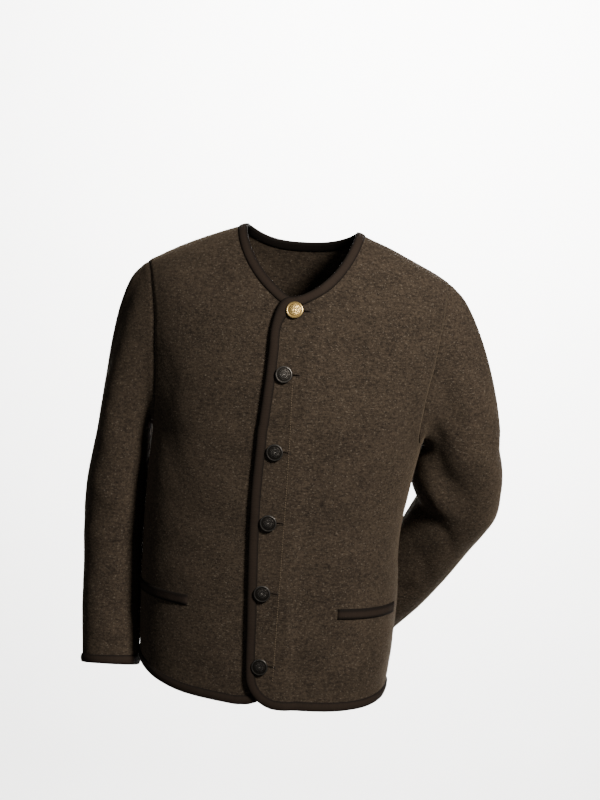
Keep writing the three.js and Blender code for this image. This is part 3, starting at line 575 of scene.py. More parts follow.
# Felted melange: dark and lighter fibres, level slubs and scattered pale flecks.
wool = Paint("felted_wool", 0.95, sheen=0.1)
spot = wool.coords("Object")
slub = wool.noise(spot, (90, 90, 520), 3)
mottle = wool.noise(spot, (230, 230, 300), 3)
grain = wool.noise(spot, (800, 800, 1000), 2)
cloud = wool.noise(spot, (16, 16, 24), 2)
fleck = wool.noise(spot, (360, 360, 560), 1).between(0.62, 0.74)
dark_fleck = wool.noise(spot, (300, 320, 700), 1).between(0.60, 0.72)
tone = (slub * 0.7 + mottle * 1.2 + grain * 1.1 + cloud * 0.4).between(1.16, 2.30)
base = wool.mix(tone, (0.0098, 0.0070, 0.0052), (0.056, 0.0410, 0.0280))
base = wool.mix(fleck * 0.42, base, (0.15, 0.125, 0.096))
base = wool.mix(dark_fleck * 0.5, base, (0.008, 0.0055, 0.004))
wool.feed({"Base Color": base, "Sheen Tint": (0.8, 0.6, 0.4, 1)})
wool.bump(grain * 0.9 + mottle * 0.6 + slub * 0.4, 0.0006, 0.8)

panels = {}


def panel(name, face, coarse, seams):
    """One body panel: a wall of cloth on its fine net, sunk at the seams on the net's named
    edges. What is sewn to it later is worked out from its upper points and normals."""
    places, columns, rows = finely(face, coarse, CELL)
    points = [[body_point(face, *place) for place in column] for column in places]
    normals = [[directions(face, *place)[2] for place in column] for column in places]
    upper, lower = [], []
    for i, column in enumerate(points):
        tops, undersides = [], []
        for j, (point, normal) in enumerate(zip(column, normals[i])):
            height = crease(name, point) + (lap_lift(point) if name == "front_left" else 0)
            sewn = {"left_edge": points[0][j], "right_edge": points[-1][j], "top": column[-1]}
            dent = sum(seam_dent((point - sewn[seam]).length) for seam in seams)
            tops.append(point + normal * (height + dent))
            undersides.append(point + normal * (height - CLOTH))
        upper.append(tops)
        lower.append(undersides)
    piece = shell(name + "_cloth", upper, lower, lambda i, j: body_uv(places[i][j]))
    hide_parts(name)
    piece.data.materials.append(wool.material)
    panels[name] = dict(piece=piece, upper=upper, normals=normals, columns=columns, rows=rows)


panel("front_left", -1, front_places(1), ("right_edge", "top"))
panel("front_right", -1, front_places(-1), ("right_edge", "top"))

# ---------------------------------------------------------------- back
# One panel of the same boiled wool with no centre seam, sewn to both fronts at the sides and
# shoulders. It hangs almost plain, with a soft crease below each armhole.
BACK_COLUMNS = 16


def back_places():
    """The coarse net of the back; its outer columns run up the side seam, the armhole and
    the shoulder seam to the neck."""
    neckline = evenly(1, lambda share: neck_place(1, mix(-90, 90, share)), BACK_COLUMNS)
    strips = [neck_strip(1, neckline, i) if 0 < i < BACK_COLUMNS else None
              for i in range(BACK_COLUMNS + 1)]
    sides = []
    for side in (-1, 1):
        neck_point = neck_place(-1, side * 90)
        strip = ridge_step(neck_point, side)
        tip = armhole_places(-1, side, ARM_ROWS)[-1]
        steps = SIDE_COLUMNS + 3
        seam = [*[mix(tip[0], strip[0], (step + 1) / steps) for step in range(steps)],
                neck_point[0]]
        column = [(side * 90, hem_height(1, side * 90) + above - UNDERARM)
                  for above in (0, BAND, CORNER)]
        column += [(side * 90, z - UNDERARM) for z in LEVELS]
        column += armhole_places(1, side, ARM_ROWS)
        column += [(turn_at(1, body_point(-1, turn, 90).x, 90), 90.0) for turn in seam]
        sides.append(column)
    total = len(sides[0])
    centre = strips[BACK_COLUMNS // 2][1]
    rows = []
    for row in range(total):
        line = []
        for column in range(BACK_COLUMNS + 1):
            share = column / BACK_COLUMNS
            turn, rise = blend_places(sides[0][row], sides[1][row], share)
            if row < 3:
                turn = mix(-90, 90, share)
                rise = hem_height(1, turn) + (0, BAND, CORNER)[row] - UNDERARM
            elif row == total - 1:
                turn, rise = neckline[column]
            elif row == total - 2 and 0 < column < BACK_COLUMNS:
                turn, rise = strips[column]
            elif rise > 0:
                low = min(rise, centre * smooth(row, 3 + len(LEVELS), total - 2) ** 0.8)
                rise = mix(rise, low, math.sqrt(1 - (2 * share - 1) ** 2))
            line.append((turn, rise))
        rows.append(line)
    return [[row[i] for row in rows] for i in range(BACK_COLUMNS + 1)]

panel("back", 1, back_places(), ("left_edge", "right_edge"))

# ---------------------------------------------------------------- sleeves
# Two one-piece sleeves of the same wool, each a tube sewn shut down its underside and set
# into its armhole with a little fullness. The right one hangs; the left one bends and goes
# behind the back.

# level by level: centre, half-size across and front to back
SLEEVES = {
    -1: [(-240, 10, -318, 40, 70), (-242.2, 12, -350, 42.8, 69), (-244.6, 13, -385, 45.4, 67),
         (-245.5, 13, -420, 46.5, 65), (-245.5, 11, -460, 46, 62), (-243.8, 7, -500, 44.7, 59),
         (-241.7, -1, -545, 43.8, 56), (-239, -11, -592, 43, 52), (-235.5, -19, -632, 42.5, 48),
         (-233.5, -23, -654, 42, 46), (-233, -26, -667, 42, 45)],
    1: [(264, 35, -300, 58, 61), (262.5, 42, -325, 65.5, 60), (261.5, 51, -349, 69, 59),
        (266, 60, -371, 65, 58), (266, 69, -392, 63, 57), (258, 77, -411, 59, 56),
        (246.5, 86, -432, 57, 55), (233.5, 95, -456, 55.5, 53), (218.5, 105, -483, 54, 51),
        (201.5, 116, -512, 52, 49), (183, 128, -541.5, 49.5, 47), (163, 139, -569, 46.5, 45),
        (148, 147, -589, 45, 44), (140, 151, -599, 45, 44)]}
GAP = 0.3                         # between a sleeve and the armhole it is sewn into
CAP_FULLNESS, CAP_PULL = {1: 0.62, -1: 0.66}, (0.9, 22)
CAP_RINGS, CAP_TURN = 6, 0.3      # the cap leaves the armhole mostly sideways
CAP_SEAM, WRINKLE = 20, 1.2       # reach of the cap's seam; wrinkles on the bent side
STATIONS = 4                      # fine stations for each coarse one round the armhole
HALF_DEEP, HALF_HIGH = 68, 112    # of an armhole
SLEEVE_ROUNDNESS, SLEEVE_LENGTH, SLEEVE_GIRTH = 2.25, 700, 300.0
NEXT_CLOTH = 1000                 # texture offset from the body's


def sleeve_section(rows, index, angle):
    centre = Vector(rows[index][:3])
    axis = (Vector(rows[min(index + 1, len(rows) - 1)][:3])
            - Vector(rows[max(index - 1, 0)][:3])).normalized()
    across = Vector((0, 1, 0)).cross(axis).normalized()
    deep = axis.cross(across).normalized()
    power = 2 / SLEEVE_ROUNDNESS
    cosine, sine = math.cos(angle), math.sin(angle)
    return (centre + across * (rows[index][3] * sign(cosine) * abs(cosine) ** power)
            + deep * (rows[index][4] * sign(sine) * abs(sine) ** power), axis)


def hermite(start, leave, end, arrive, share, strength):
    s2, s3 = share * share, share ** 3
    return (start * (2 * s3 - 3 * s2 + 1) + leave * ((s3 - 2 * s2 + share) * strength)
            + end * (3 * s2 - 2 * s3) + arrive * ((s3 - s2) * strength))


def draw_out(spots, counts):
    """A line of points drawn out smoothly."""
    keys = [0.0]
    for a, b in zip(spots, spots[1:]):
        keys.append(keys[-1] + (b - a).length)
    table = [(key, *spot) for key, spot in zip(keys, spots)]
    fine = []
    for k, steps in enumerate(counts):
        for step in range(steps):
            value = mix(keys[k], keys[k + 1], step / steps)
            fine.append(Vector([curve(table, column, value) for column in (1, 2, 3)]))
    return fine + [spots[-1]]


for side, name in ((1, "sleeve_left"), (-1, "sleeve_right")):
    stations = []
    for face in (-1, 1):
        line = armhole_places(face, side, ARM_ROWS * STATIONS)
        for place in (line if face < 0 else line[::-1])[:-1]:
            stations.append((body_point(face, *place), directions(face, *place)[2]))
    total = len(stations)
    middle = sum((spot for spot, _ in stations), Vector()) / total
    rows = SLEEVES[side]
    coarse = []
    for index, (spot, normal) in enumerate(stations):
        angle = math.atan2((spot.y - middle.y) / HALF_DEEP,
                           -side * (spot.z - middle.z) / HALF_HIGH)
        along = (stations[(index + 1) % total][0] - stations[index - 1][0]).normalized()
        away = (along.cross(normal) * side).normalized()
        start = spot + away * GAP
        away = Vector((away.x, CAP_TURN * away.y, away.z)).normalized()
        section, axis = sleeve_section(rows, 0, angle)
        pull = CAP_FULLNESS[side] * (CAP_PULL[0] * (section - start).length + CAP_PULL[1])
        column = [start] + [hermite(start, away, section, axis, ring / CAP_RINGS, pull)
                            for ring in range(1, CAP_RINGS)]
        coarse.append(column + [sleeve_section(rows, row, angle)[0] for row in range(len(rows))])
    counts = [max(math.ceil(max((column[j + 1] - column[j]).length for column in coarse) / CELL),
                  1) for j in range(len(coarse[0]) - 1)]
    points = [draw_out(column, counts) for column in coarse]
    high = len(points[0])
    normals = [[((points[(i + 1) % total][j] - points[i - 1][j]).cross(
        points[i][min(j + 1, high - 1)] - points[i][max(j - 1, 0)]) * -side).normalized()
        for j in range(high)] for i in range(total)]
    lengths = [0.0]
    for j in range(1, high):
        lengths.append(lengths[-1] + sum((column[j] - column[j - 1]).length
                                         for column in points) / total)
    upper, lower = [], []
    for i in range(total):
        normals[i][0] = stations[i][1]
        high_side, low_side = [], []
        for j in range(high):
            spot, normal = points[i][j], normals[i][j]
            clear = smooth(lengths[j], 0, CAP_SEAM)
            height = crease(name, spot) * smooth(-normal.y, -0.2, 0.5) * clear
            # one seam runs round the cap and one down the underside, station 0
            height += seam_dent((spot - points[i][0]).length)
            height += seam_dent((spot - points[0][j]).length) * clear
            # the back of a bent sleeve wrinkles a little too
            height += WRINKLE * smooth(normal.y, 0.1, 0.7) * smooth(lengths[j], 40, 90) \
                * math.sin(lengths[j] / 17 + 3 * math.sin(i * math.tau / total))
            high_side.append(spot + normal * height)
            low_side.append(spot + normal * (height - CLOTH))
        upper.append(high_side)
        lower.append(low_side)
    piece = shell(name + "_cloth", upper, lower, lambda i, j: (
        SLEEVE_GIRTH * i / total + NEXT_CLOTH, SLEEVE_LENGTH - lengths[j]), SLEEVE_GIRTH)
    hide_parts(name)
    piece.data.materials.append(wool.material)
    panels[name] = dict(piece=piece, upper=upper, normals=normals,
                        rows=[sum(counts[:k]) for k in range(len(counts) + 1)])

# ---------------------------------------------------------------- bindings
# A knitted tape, 13 mm wide when it is folded, runs round every edge: hem, front edges,
# neckline and cuffs. It is folded over the cloth's edge and sewn down on both faces.

# share of the way from its sewn line to the cloth's edge, reach past the edge, height over
# the cloth's face
TAPE = [(0, 0, .1), (.03, 0, .9), (.12, 0, 1.6), (.28, 0, 2.15), (.5, 0, 2.4), (.7, 0, 2.25),
        (.87, 0, 1.8), (1, .4, 1.2), (1, 1.1, .3), (1, 1.4, -1.3), (1, 1.1, -2.9),
        (1, .4, -3.8), (.8, 0, -4.1), (.5, 0, -4.2), (.15, 0, -4), (0, 0, -3.5),
        (0, 0, -2.9), (.5, 0, -2.95), (.97, 0, -2.9), (1, .3, -1.3), (.97, 0, .3), (.5, 0, .35)]

# Fine ribs run across the tape. Its colour is also painted lighter along the crown of its roll and
# darker towards its folded edges: a painted highlight and painted shade.
band = Paint("binding_tape", 0.9)
uv = band.coords("UV")
band_grain = band.noise(band.coords("Object"), (1500, 1500, 1500), 2)
rib = band.noise(uv, (900, 3, 1), 2)
split = band.node("ShaderNodeSeparateXYZ", {}, {"Vector": uv})
# painted highlight and shade: lightest along the top of the roll, darker down its sides and in its
# folds
painted_crown_highlight = 1 - abs(Sock(band, split.outputs["Y"]) - 0.19).between(0.02, 0.17)
rib_tone_and_painted_light = (rib * 0.4 + band_grain * 0.3 + painted_crown_highlight * 0.55).between(0.3, 1.0)
# the tape's colour: its ribs and grain, with the painted highlight and shade of its roll
band.feed({"Base Color": band.mix(rib_tone_and_painted_light, (0.0045, 0.0029, 0.0020), (0.0195, 0.0130, 0.0092))})
band.bump(rib * 0.8 + band_grain * 0.5, 0.0005, 0.8)


def tape(name, stops, closed=False):
    """A binding along stops of edge point, edge normal, sewn point and sewn normal."""
    total, size = len(stops), len(TAPE)
    points, length = [], [0.0]
    for index, (edge, normal, root, root_normal) in enumerate(stops):
        ahead = stops[(index + 1) % total if closed else min(index + 1, total - 1)][0]
        behind = stops[index - 1 if closed or index else 0][0]
        along = (ahead - behind).normalized()
        away = edge - root
        away = (away - along * away.dot(along)) if closed or 0 < index < total - 1 else away
        away = (away - normal * away.dot(normal)).normalized()
        puff = 1 + 0.06 * math.sin(length[-1] / 13 + len(name)) + 0.04 * math.sin(length[-1] / 5.3)
        for share, reach, height in TAPE:
            way = root_normal.lerp(normal, share)
            points.append(root.lerp(edge, share) + away * reach
                          + way * (height * puff if height > 0.5 else height))
        length.append(length[-1] + (ahead - edge).length)
    faces, corners = [], []
    for stop in range(total if closed else total - 1):
        after = (stop + 1) % total
        for k in range(size):
            n = (k + 1) % size
            faces.append([stop * size + k, stop * size + n, after * size + n, after * size + k])
            corners += [(length[at] * .001, share) for at, share in (
                (stop, k / size), (stop, (k + 1) / size), (stop + 1, (k + 1) / size),
                (stop + 1, k / size))]
    if not closed:
        for first in (0, (total - 1) * size):
            half = [first + k for k in range(size)]
            faces.append(half if first else half[::-1])
            corners += [(length[0 if not first else total - 1] * .001, k / size)
                        for k in range(size)]
    return new_piece(name, points, faces, corners)


bindings = {}
stitch_lines = {name: [] for name in panels}


def sew_on(node, piece):
    """A finished band: it stands for one solid, and all are made of the same tape."""
    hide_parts(node)
    piece.data.materials.append(band.material)
    bindings[node] = piece


def bind(node, name, panel_name, stops, closed=False):
    sew_on(node, tape(name, stops, closed))
    stitch_lines[panel_name].append([stop[2:] for stop in stops])


def raised(net, i, j):
    """The outer face's point and normal at a fine cell."""
    return net["upper"][i][j], net["normals"][i][j]


def on_front(side, place):
    name = "front_left" if side > 0 else "front_right"
    point, normal = body_point(-1, *place), directions(-1, *place)[2]
    height = crease(name, point) + (lap_lift(point) if side > 0 else 0)
    return point + normal * height, normal


for side, name in ((1, "left"), (-1, "right")):
    net = panels["front_" + name]
    wide, high = len(net["upper"]), len(net["upper"][0])
    ci, rj = net["columns"], net["rows"]
    stops = [(*raised(net, i, 0), *raised(net, i, rj[1])) for i in range(wide - 1, ci[2], -1)]
    for angle in range(90, -1, -5):
        stops.append((*on_front(side, corner_place(side, angle, CORNER)),
                      *on_front(side, corner_place(side, angle, CORNER - BAND))))
    stops += [(*raised(net, 0, j), *raised(net, ci[1], j)) for j in range(rj[2] + 1, high)]
    bind("front_binding_" + name, "front_binding_tape_" + name, "front_" + name, stops)
net = panels["back"]
wide, top = len(net["upper"]), len(net["upper"][0]) - 1
for node, name, edge, inner in (("neck_binding_back", "neck_binding_tape", top, -2),
                                ("hem_binding_back", "hem_binding_tape", 0, 1)):
    stops = [(*raised(net, i, edge), *raised(net, i, net["rows"][inner])) for i in range(wide)]
    bind(node, name, "back", stops)
for name in ("left", "right"):
    net = panels["sleeve_" + name]
    last, inner = net["rows"][-1], net["rows"][-2]
    stops = [(*raised(net, i, last), *raised(net, i, inner)) for i in range(len(net["upper"]))]
    bind("cuff_binding_" + name, "cuff_binding_tape_" + name, "sleeve_" + name, stops, True)

# ---------------------------------------------------------------- pocket welts
# A narrow padded strip of the same tape covers the mouth of each slit pocket. It is rolled
# over at its long edges and sewn to the front along both of them.
WELT_STEPS, WELT_BASE, WELT_RISE, WELT_FOOT, WELT_TEXTURE = 10, 0.5, 1.9, 0.25, 380
for name in ("left", "right"):
    net = panels["front_" + name]
    first, last = net["columns"][4], net["columns"][8]
    low, top = net["rows"][3:5]
    upper, lower = [], []
    for i in range(first, last + 1):
        ends = 1 - abs(2 * (i - first) / (last - first) - 1) ** 24
        tips, feet = [], []
        for step in range(WELT_STEPS + 1):
            share = step / WELT_STEPS
            at = mix(low, top, share)
            j = min(int(at), top - 1)
            spot = net["upper"][i][j].lerp(net["upper"][i][j + 1], at - j)
            normal = net["normals"][i][j].lerp(net["normals"][i][j + 1], at - j)
            swell = WELT_RISE * ends * (1 - abs(2 * share - 1) ** 5) ** 0.5
            tips.append(spot + normal * (WELT_BASE + swell))
            feet.append(spot + normal * WELT_FOOT)
        upper.append(tips)
        lower.append(feet)
    sew_on("pocket_welt_" + name, shell("pocket_welt_tape_" + name, upper, lower, lambda i, j: (
        CELL * i, WELT_TEXTURE * j / WELT_STEPS)))
    for j in (low, top):
        stitch_lines["front_" + name].append(
            [raised(net, i, j) for i in range(first, last + 1)])

# ---------------------------------------------------------------- sewing
# Dark sewing thread holds the bindings and the welts down in rows of small sunk stitches.
# The tape is caught a little inside its own edge.
thread = Paint("sewing_thread", 0.7)
twist = thread.noise(thread.coords("Object"), (2600, 2600, 2600), 1)
thread.feed({"Base Color": thread.mix(twist, (0.010, 0.0075, 0.006), (0.040, 0.030, 0.023))})
thread.bump(twist, 0.0002)

# the bead that every stitch repeats, long in its third axis and a little slimmer than round
bm = bmesh.new()
bmesh.ops.create_uvsphere(bm, u_segments=6, v_segments=3, radius=1)
bmesh.ops.scale(bm, vec=(0.9815, 0.9815, 1), verts=bm.verts)
bm.verts.index_update()
BEAD = [vertex.co.copy() for vertex in bm.verts]
BEAD_FACES = [[vertex.index for vertex in face.verts] for face in bm.faces]
bm.free()
SUNK = 0.1                              # of a stitch's ends


def stitch(points, faces, middle, along, normal, length, width):
    """One stitch: a bead of thread along the seam with its ends drawn into the cloth."""
    across = normal.cross(along).normalized()
    faces += [[len(points) + corner for corner in face] for face in BEAD_FACES]
    points += [middle + along * (spot.z * length / 2) + across * (spot.y * width / 2)
               - normal * (spot.x * width / 2 + (SUNK if abs(spot.z) > 0.9 else 0))
               for spot in BEAD]


def stitched(name, lines, paint, height, pitch=4.2, length=2.7, width=0.5):
    """Rows of stitches along lines of (point, normal)."""
    points, faces = [], []
    for line in lines:
        run, target = 0.0, pitch / 2
        for (a, na), (b, _) in zip(line, line[1:]):
            step = (b - a).length
            while step > 1e-6 and target <= run + step:
                middle = a.lerp(b, (target - run) / step) + na * height
                stitch(points, faces, middle, (b - a).normalized(), na, length, width)
                target += pitch
            run += step
    piece = new_piece(name, points, faces)
    piece.data.materials.append(paint.material)
    return piece


sewing = {}
for owner, lines in stitch_lines.items():
    sewing[owner] = stitched(owner + "_stitches", lines, paint=thread, height=0.35)

# ---------------------------------------------------------------- facing row
# The facing behind the button line is held by one row of longer stitches down the left
# front, spun of the cloth's own lighter wool.
ROW_LOW, ROW_TOP, ROW_STEP = -640, -205, 4
fibre_thread = Paint("wool_thread", 0.85)
twist = fibre_thread.noise(fibre_thread.coords("Object"), (1800, 1800, 1800), 1)
fibre_thread.feed({"Base Color": fibre_thread.mix(twist, (0.075, 0.053, 0.034),
                                                  (0.19, 0.145, 0.10))})
line = [on_front(1, place_at(-1, curve(PLACKET, 1, z), z))
        for z in range(ROW_LOW, ROW_TOP, ROW_STEP)]
placket = stitched("placket_stitches", [line], paint=fibre_thread, height=0.3, pitch=3.4,
                   length=2.9, width=0.95)

# ---------------------------------------------------------------- buttonholes
# Six level slits are cut through the left front where the buttons' shanks pass. Dark thread
# is worked round each, close and slightly uneven.
BUTTON_HEIGHTS = [-107, -196, -306, -408, -511, -619]
SLIT_MIDDLE = 9.5                       # behind the button line
SLIT_LONG, SLIT_HIGH = 12.5, 0.8        # half-sizes of the slit
WORK_LONG, WORK_HIGH, WORK_STITCHES = 13.2, 1.7, 64    # and of the thread round it
CUT_UNDER, CUT_THROUGH = 8, 22          # reach of the cut below the body's surface, and in all


def button_frame(z):
    """A button's place on the body and its own across, up and outward directions."""
    x = curve(FRONT_LINE, 2, z)
    place = place_at(-1, x, z)
    normal = directions(-1, *place)[2]
    across = Vector((0, 0, 1)).cross(normal).normalized()
    return body_point(-1, *place), across, normal.cross(across), normal


def bent(value, power):
    return math.copysign(abs(value) ** power, value)


bm = bmesh.new()
for z in BUTTON_HEIGHTS:
    spot, across, up, normal = button_frame(z)
    ring = bmesh.ops.create_circle(bm, cap_ends=True, segments=20, radius=1)["verts"]
    for vertex in ring:
        x = SLIT_MIDDLE + SLIT_LONG * bent(vertex.co.x, 0.8)
        y = SLIT_HIGH * bent(vertex.co.y, 0.8)
        vertex.co = spot + across * x + up * y - normal * CUT_UNDER
    grown = bmesh.ops.extrude_face_region(bm, geom=list(ring[0].link_faces))["geom"]
    bmesh.ops.translate(bm, vec=normal * CUT_THROUGH,
                        verts=[part for part in grown if isinstance(part, bmesh.types.BMVert)])
bmesh.ops.recalc_face_normals(bm, faces=bm.faces)
bmesh.ops.scale(bm, vec=(0.001, 0.001, 0.001), verts=bm.verts)
mesh = bpy.data.meshes.new("slit_cutter")
bm.to_mesh(mesh)
bm.free()
cutter = bpy.data.objects.new("slit_cutter", mesh)
bpy.context.scene.collection.objects.link(cutter)
front = panels["front_left"]["piece"]
cut = front.modifiers.new("slits", "BOOLEAN")
cut.operation, cut.object, cut.solver = "DIFFERENCE", cutter, "EXACT"
bpy.context.view_layer.update()
shaped = bpy.data.meshes.new_from_object(
    front.evaluated_get(bpy.context.evaluated_depsgraph_get()))
front.modifiers.clear()
front.data = shaped
bpy.data.objects.remove(cutter)

# the thread round each slit
points, faces = [], []
for number, z in enumerate(BUTTON_HEIGHTS):
    spot, across, up, normal = button_frame(z)
    for k in range(WORK_STITCHES):
        turn = k * math.tau / WORK_STITCHES + 0.03 * math.sin(5 * k + number)
        world = spot + across * (SLIT_MIDDLE + WORK_LONG * bent(math.cos(turn), 0.8)) \
            + up * (WORK_HIGH * bent(math.sin(turn), 0.6))
        out = Vector((0.25 * math.cos(turn), math.copysign(1, math.sin(turn)), 0)).normalized()
        near = on_front(1, place_at(-1, world.x, world.z))[0]
        stitch(points, faces, near + normal * 0.15, across * out.x + up * out.y, normal,
               2.2 + 0.2 * math.sin(3.3 * k), 0.75)
buttonholes = new_piece("buttonhole_thread", points, faces)
buttonholes.data.materials.append(thread.material)

# ---------------------------------------------------------------- buttons
# Six cast metal shank buttons, 24 mm across and slightly domed, sewn to the right front
# through the slits. The top one is brass and the others have a dark patina, and each has a
# rim, a beaded line and a rosette.
RINGS, SPOKES, RADIUS, FACE_RADIUS = 40, 144, 12, 11.6
BACK, RIM = 8.6, 2.5                    # height of the button's back, and of its rim over it
RELIEF, DOME, DISH = 0.5, 0.9, 0.5      # strength of the relief; the domed, sunk face
TURN_EACH, TILT = 0.35, 0.05            # each sits a little differently
SHANK = [(0, 0.4), (1.1, 0.4), (1.1, BACK - 0.2), (4, BACK), (9.5, BACK - 0.1),
         (11.3, BACK + 0.4), (12, BACK + 1.3), (11.95, BACK + 2.1)]


def metal(name, low, high, worn, rough_low, rough_high):
    """Cast metal, dark in its hollows and polished by wear on what stands up."""
    paint = Paint(name, 0.4, metallic=1.0, specular=0.5)
    speck = paint.noise(paint.coords("Object"), (900, 900, 900), 3)
    wear = (paint.attribute("raised") + speck * 0.5).between(*worn)
    paint.feed({"Base Color": paint.mix(wear, low, high),
                "Roughness": rough_low + (1 - wear) * (rough_high - rough_low)})
    paint.bump(speck, 0.0001, 0.5)
    return paint.material


brass = metal("brass", (0.20, 0.115, 0.028), (0.78, 0.56, 0.22), (0.1, 0.8), 0.3, 0.55)
patina = metal("dark_patina", (0.030, 0.027, 0.024), (0.34, 0.32, 0.30), (0.66, 1.30),
               0.26, 0.5)


def relief(share, turn, kind):
    """Height of a button's face in millimetres, at a share of its radius: a rounded rim, a
    beaded line and a rosette of eight petals round a boss."""
    rim = 0.8 * math.exp(-((share - 0.93) / 0.05) ** 2)
    beads = 0.34 * math.exp(-((share - 0.83) / 0.03) ** 2) * (0.5 + 0.5 * math.cos(40 * turn))
    petal = abs(math.cos(4 * turn))
    edge = 0.34 + 0.40 * petal ** 0.6
    leaf = smooth(edge - share, 0, 0.10) * smooth(share, 0.12, 0.22)
    vein = 1 - 0.5 * math.exp(-((1 - petal) / 0.04) ** 2)
    between = 0.3 * math.exp(-((share - 0.62) / 0.05) ** 2) * (1 - petal) ** 3
    boss = 0.8 * smooth(0.16 - share, 0, 0.11) * (1 + 0.15 * math.cos(6 * turn))
    body = 0.7 * leaf * vein * (0.75 + 0.25 * math.cos(30 * share)) + between * 2 + boss
    worn = 0.06 * math.sin(9 * share + 3 * turn + kind) + 0.05 * math.sin(14 * turn + 5 * kind)
    return rim + beads + body * (1 + worn)


for number, z in enumerate(BUTTON_HEIGHTS, 1):
    bm = bmesh.new()
    raised_by = bm.verts.layers.float.new("raised")
    profile = SHANK + [(FACE_RADIUS * (1 - k / RINGS), BACK + RIM) for k in range(RINGS + 1)]
    outline = [bm.verts.new((radius, 0, height)) for radius, height in profile]
    edges = [bm.edges.new(pair) for pair in zip(outline, outline[1:])]
    bmesh.ops.spin(bm, geom=outline + edges, axis=(0, 0, 1), angle=math.tau, steps=SPOKES,
                   use_merge=True)
    bmesh.ops.remove_doubles(bm, verts=bm.verts, dist=0.001)
    bmesh.ops.recalc_face_normals(bm, faces=bm.faces)
    for vertex in bm.verts:
        radius, turn = math.hypot(*vertex.co.xy), math.atan2(vertex.co.y, vertex.co.x)
        vertex[raised_by] = 0.6
        if vertex.co.z > BACK + RIM - 0.1 and radius < FACE_RADIUS - 0.1:
            rise = relief(radius / FACE_RADIUS, turn, number)
            vertex[raised_by] = rise
            vertex.co.z += RELIEF * rise + DOME * (1 - (radius / RADIUS) ** 2) - DISH
    bmesh.ops.rotate(bm, matrix=Matrix.Rotation(TURN_EACH * number, 3, "Z"), verts=bm.verts)
    for vertex in bm.verts:
        vertex.co.z += TILT * math.sin(2.4 * number) * vertex.co.x
    spot, across, up, normal = button_frame(z)
    place = Matrix.Translation(spot) @ Matrix((across, up, normal)).transposed().to_4x4()
    bmesh.ops.transform(bm, matrix=Matrix.Scale(0.001, 4) @ place, verts=bm.verts)
    mesh = bpy.data.meshes.new("button_metal_%d" % number)
    bm.to_mesh(mesh)
    bm.free()
    piece = add_piece("button_metal_%d" % number, mesh)
    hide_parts("button_%d" % number)
    piece.data.materials.append(brass if number == 1 else patina)

# ---------------------------------------------------------------- wool nap
# Short loose fibres of the felt stand off its face everywhere, leaning every way. They carry
# the melange's own spread of tones.
fibre = Paint("wool_nap", 0.9, sheen=0.05)
tone = fibre.attribute("tone").between(0.3, 1.0)
fibre.feed({"Base Color": fibre.mix(tone, (0.018, 0.0128, 0.0090), (0.105, 0.082, 0.060))})
FIBRES = {"front_left": 26000, "front_right": 26000, "back": 34000, "sleeve_left": 24000,
          "sleeve_right": 24000}
LEAN, FIBRE_HALF, ROOT = (0.5, 1.45), (0.05, 0.11), 0.15   # from upright; half-width; sunk
SHORTEST, SPREAD = 0.4, (4.0, 0.42)     # fibre, and its further length as a gamma spread
nap = {}
for seed, (name, number) in enumerate(FIBRES.items()):
    net = panels[name]
    rng = np.random.default_rng(40 + seed)
    grid = np.array([[tuple(point) for point in column] for column in net["upper"]])
    norms = np.array([[tuple(normal) for normal in column] for column in net["normals"]])
    wide, high = grid.shape[:2]
    wraps = name.startswith("sleeve")
    cells = (wide if wraps else wide - 1) * (high - 1)
    ahead = np.roll(grid, -1, axis=0)
    sizes = np.linalg.norm(np.cross(ahead[:, :-1] - grid[:, :-1], grid[:, 1:] - grid[:, :-1]),
                           axis=2)[:wide if wraps else wide - 1].ravel()
    chosen = rng.choice(cells, size=number, p=sizes / sizes.sum())
    i, j = chosen // (high - 1), chosen % (high - 1)
    s, t = rng.random((2, number, 1))
    n = (i + 1) % wide
    root = ((1 - s) * (1 - t) * grid[i, j] + s * (1 - t) * grid[n, j] + s * t * grid[n, j + 1]
            + (1 - s) * t * grid[i, j + 1])
    out = norms[i, j]
    random = rng.normal(size=(number, 3))
    flat = random - out * (random * out).sum(axis=1, keepdims=True)
    flat /= np.linalg.norm(flat, axis=1, keepdims=True)
    lean = rng.uniform(*LEAN, (number, 1))
    long = rng.gamma(*SPREAD, (number, 1)) + SHORTEST
    tip = root + (out * np.cos(lean) + flat * np.sin(lean)) * long
    across = np.cross(out, flat)
    wide_half = rng.uniform(*FIBRE_HALF, (number, 1))
    root = root - out * ROOT
    vertices = np.stack([root - across * wide_half, root + across * wide_half, tip], axis=1)
    points = vertices.reshape(-1, 3)
    faces = np.arange(number * 3).reshape(-1, 3).tolist()
    piece = new_piece(name + "_nap", points.tolist(), faces, closed=False)
    tone = piece.data.attributes.new("tone", "FLOAT", "POINT")
    tone.data.foreach_set("value", np.repeat(rng.random(number), 3))
    piece.data.materials.append(fibre.material)
    nap[name] = piece

# ---------------------------------------------------------------- the sleeves' pieces
# Each sleeve's cloth, cuff binding, nap and stitches, and the name of the front's cloth,
# are only looked up here; nothing is done with them.
for name in ("left", "right"):
    panels["sleeve_" + name]["piece"]
    "front_%s_cloth" % name
    bindings["cuff_binding_" + name]
    nap["sleeve_" + name]
    sewing["sleeve_" + name]

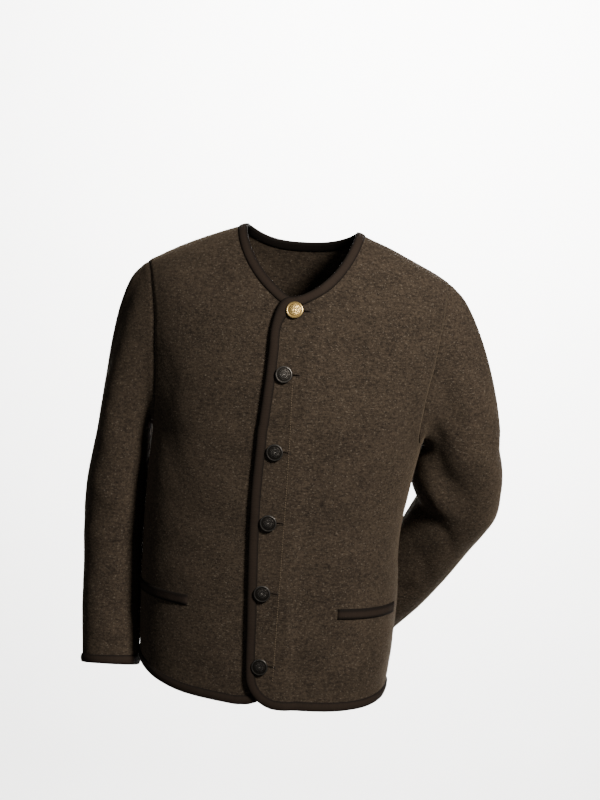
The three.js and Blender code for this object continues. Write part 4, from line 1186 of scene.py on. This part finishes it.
# ---------------------------------------------------------------- studio
# A pale seamless sweep far behind: the start of a floor, a wide bend and a wall.
SWEEP_LEFT, SWEEP_RIGHT, FLOOR, BEND = -2.7, 3.0, -3.9, 1.3
profile = [(3.9 + BEND * math.sin(a * math.pi / 24),
            FLOOR + BEND * (1 - math.cos(a * math.pi / 24)))
           for a in range(13)] + [(5.2, 2.6)]
bm = bmesh.new()
edge = bm.edges.new([bm.verts.new((x, 1.6, FLOOR)) for x in (SWEEP_RIGHT, SWEEP_LEFT)])
for y, z in profile:
    grown = bmesh.ops.extrude_edge_only(bm, edges=[edge])["geom"]
    ends = [part for part in grown if isinstance(part, bmesh.types.BMVert)]
    for vertex in ends:
        vertex.co.yz = y, z
    edge = bm.edges.get(ends)
mesh = bpy.data.meshes.new("sweep")
bm.to_mesh(mesh)
bm.free()
mesh.shade_smooth()
sweep = bpy.data.objects.new("sweep", mesh)
bpy.context.scene.collection.objects.link(sweep)
paper = Paint("pale_paper", 0.9)
tint = paper.noise(paper.coords("Object"), (3, 3, 3), 2)
paper.feed({"Base Color": paper.mix(tint, (0.86, 0.86, 0.86), (0.90, 0.90, 0.90))})
sweep.data.materials.append(paper.material)

# A low warm key lamp from the wearer's left, hardly any fill, and a lamp for the wall alone.
world = bpy.data.worlds.new("soft_studio")
bpy.context.scene.world = world
world.use_nodes = True
world.node_tree.nodes["Background"].inputs["Color"].default_value = (1, 0.985, 0.96, 1)
world.node_tree.nodes["Background"].inputs["Strength"].default_value = 0.10


def area_light(name, place, target, size, power, colour):
    light = bpy.data.lights.new(name, "AREA")
    light.shape = "DISK"
    light.size, light.energy, light.color = size, power, colour
    lamp = bpy.data.objects.new(name, light)
    lamp.location = place
    lamp.rotation_euler = (Vector(target) - Vector(place)).to_track_quat("-Z", "Y").to_euler()
    bpy.context.scene.collection.objects.link(lamp)


area_light("key", (1.45, -1.75, 1.30), (0.05, 0, -0.25), 0.6, 158, (1.0, 0.945, 0.87))
area_light("fill", (-1.6, -2.8, 0.6), (0, 0, -0.3), 1.6, 4, (0.9, 0.95, 1.0))
area_light("wall", (0.1, 2.2, 1.2), (0.1, 5.2, -0.9), 3.0, 1500, (1.0, 0.99, 0.97))

# ---------------------------------------------------------------- camera
# A long lens a little to the wearer's left and above the shoulders, slightly rolled.
place = Vector((0.2223, -2.8929, 0.150))
aim = (Vector((0.020, 0.0, -0.248)) - place).normalized()
level = aim.cross(Vector((0, 0, 1))).normalized()
upright = level.cross(aim)
roll = math.radians(4.5)
right = level * math.cos(roll) + upright * math.sin(roll)
top = upright * math.cos(roll) - level * math.sin(roll)
lens = bpy.data.cameras.new("camera")
lens.lens, lens.sensor_width = 88.8, 36.0
camera = bpy.data.objects.new("camera", lens)
camera.matrix_world = Matrix.Translation(place) @ Matrix((right, top, -aim)).transposed().to_4x4()
bpy.context.scene.collection.objects.link(camera)
bpy.context.scene.camera = camera
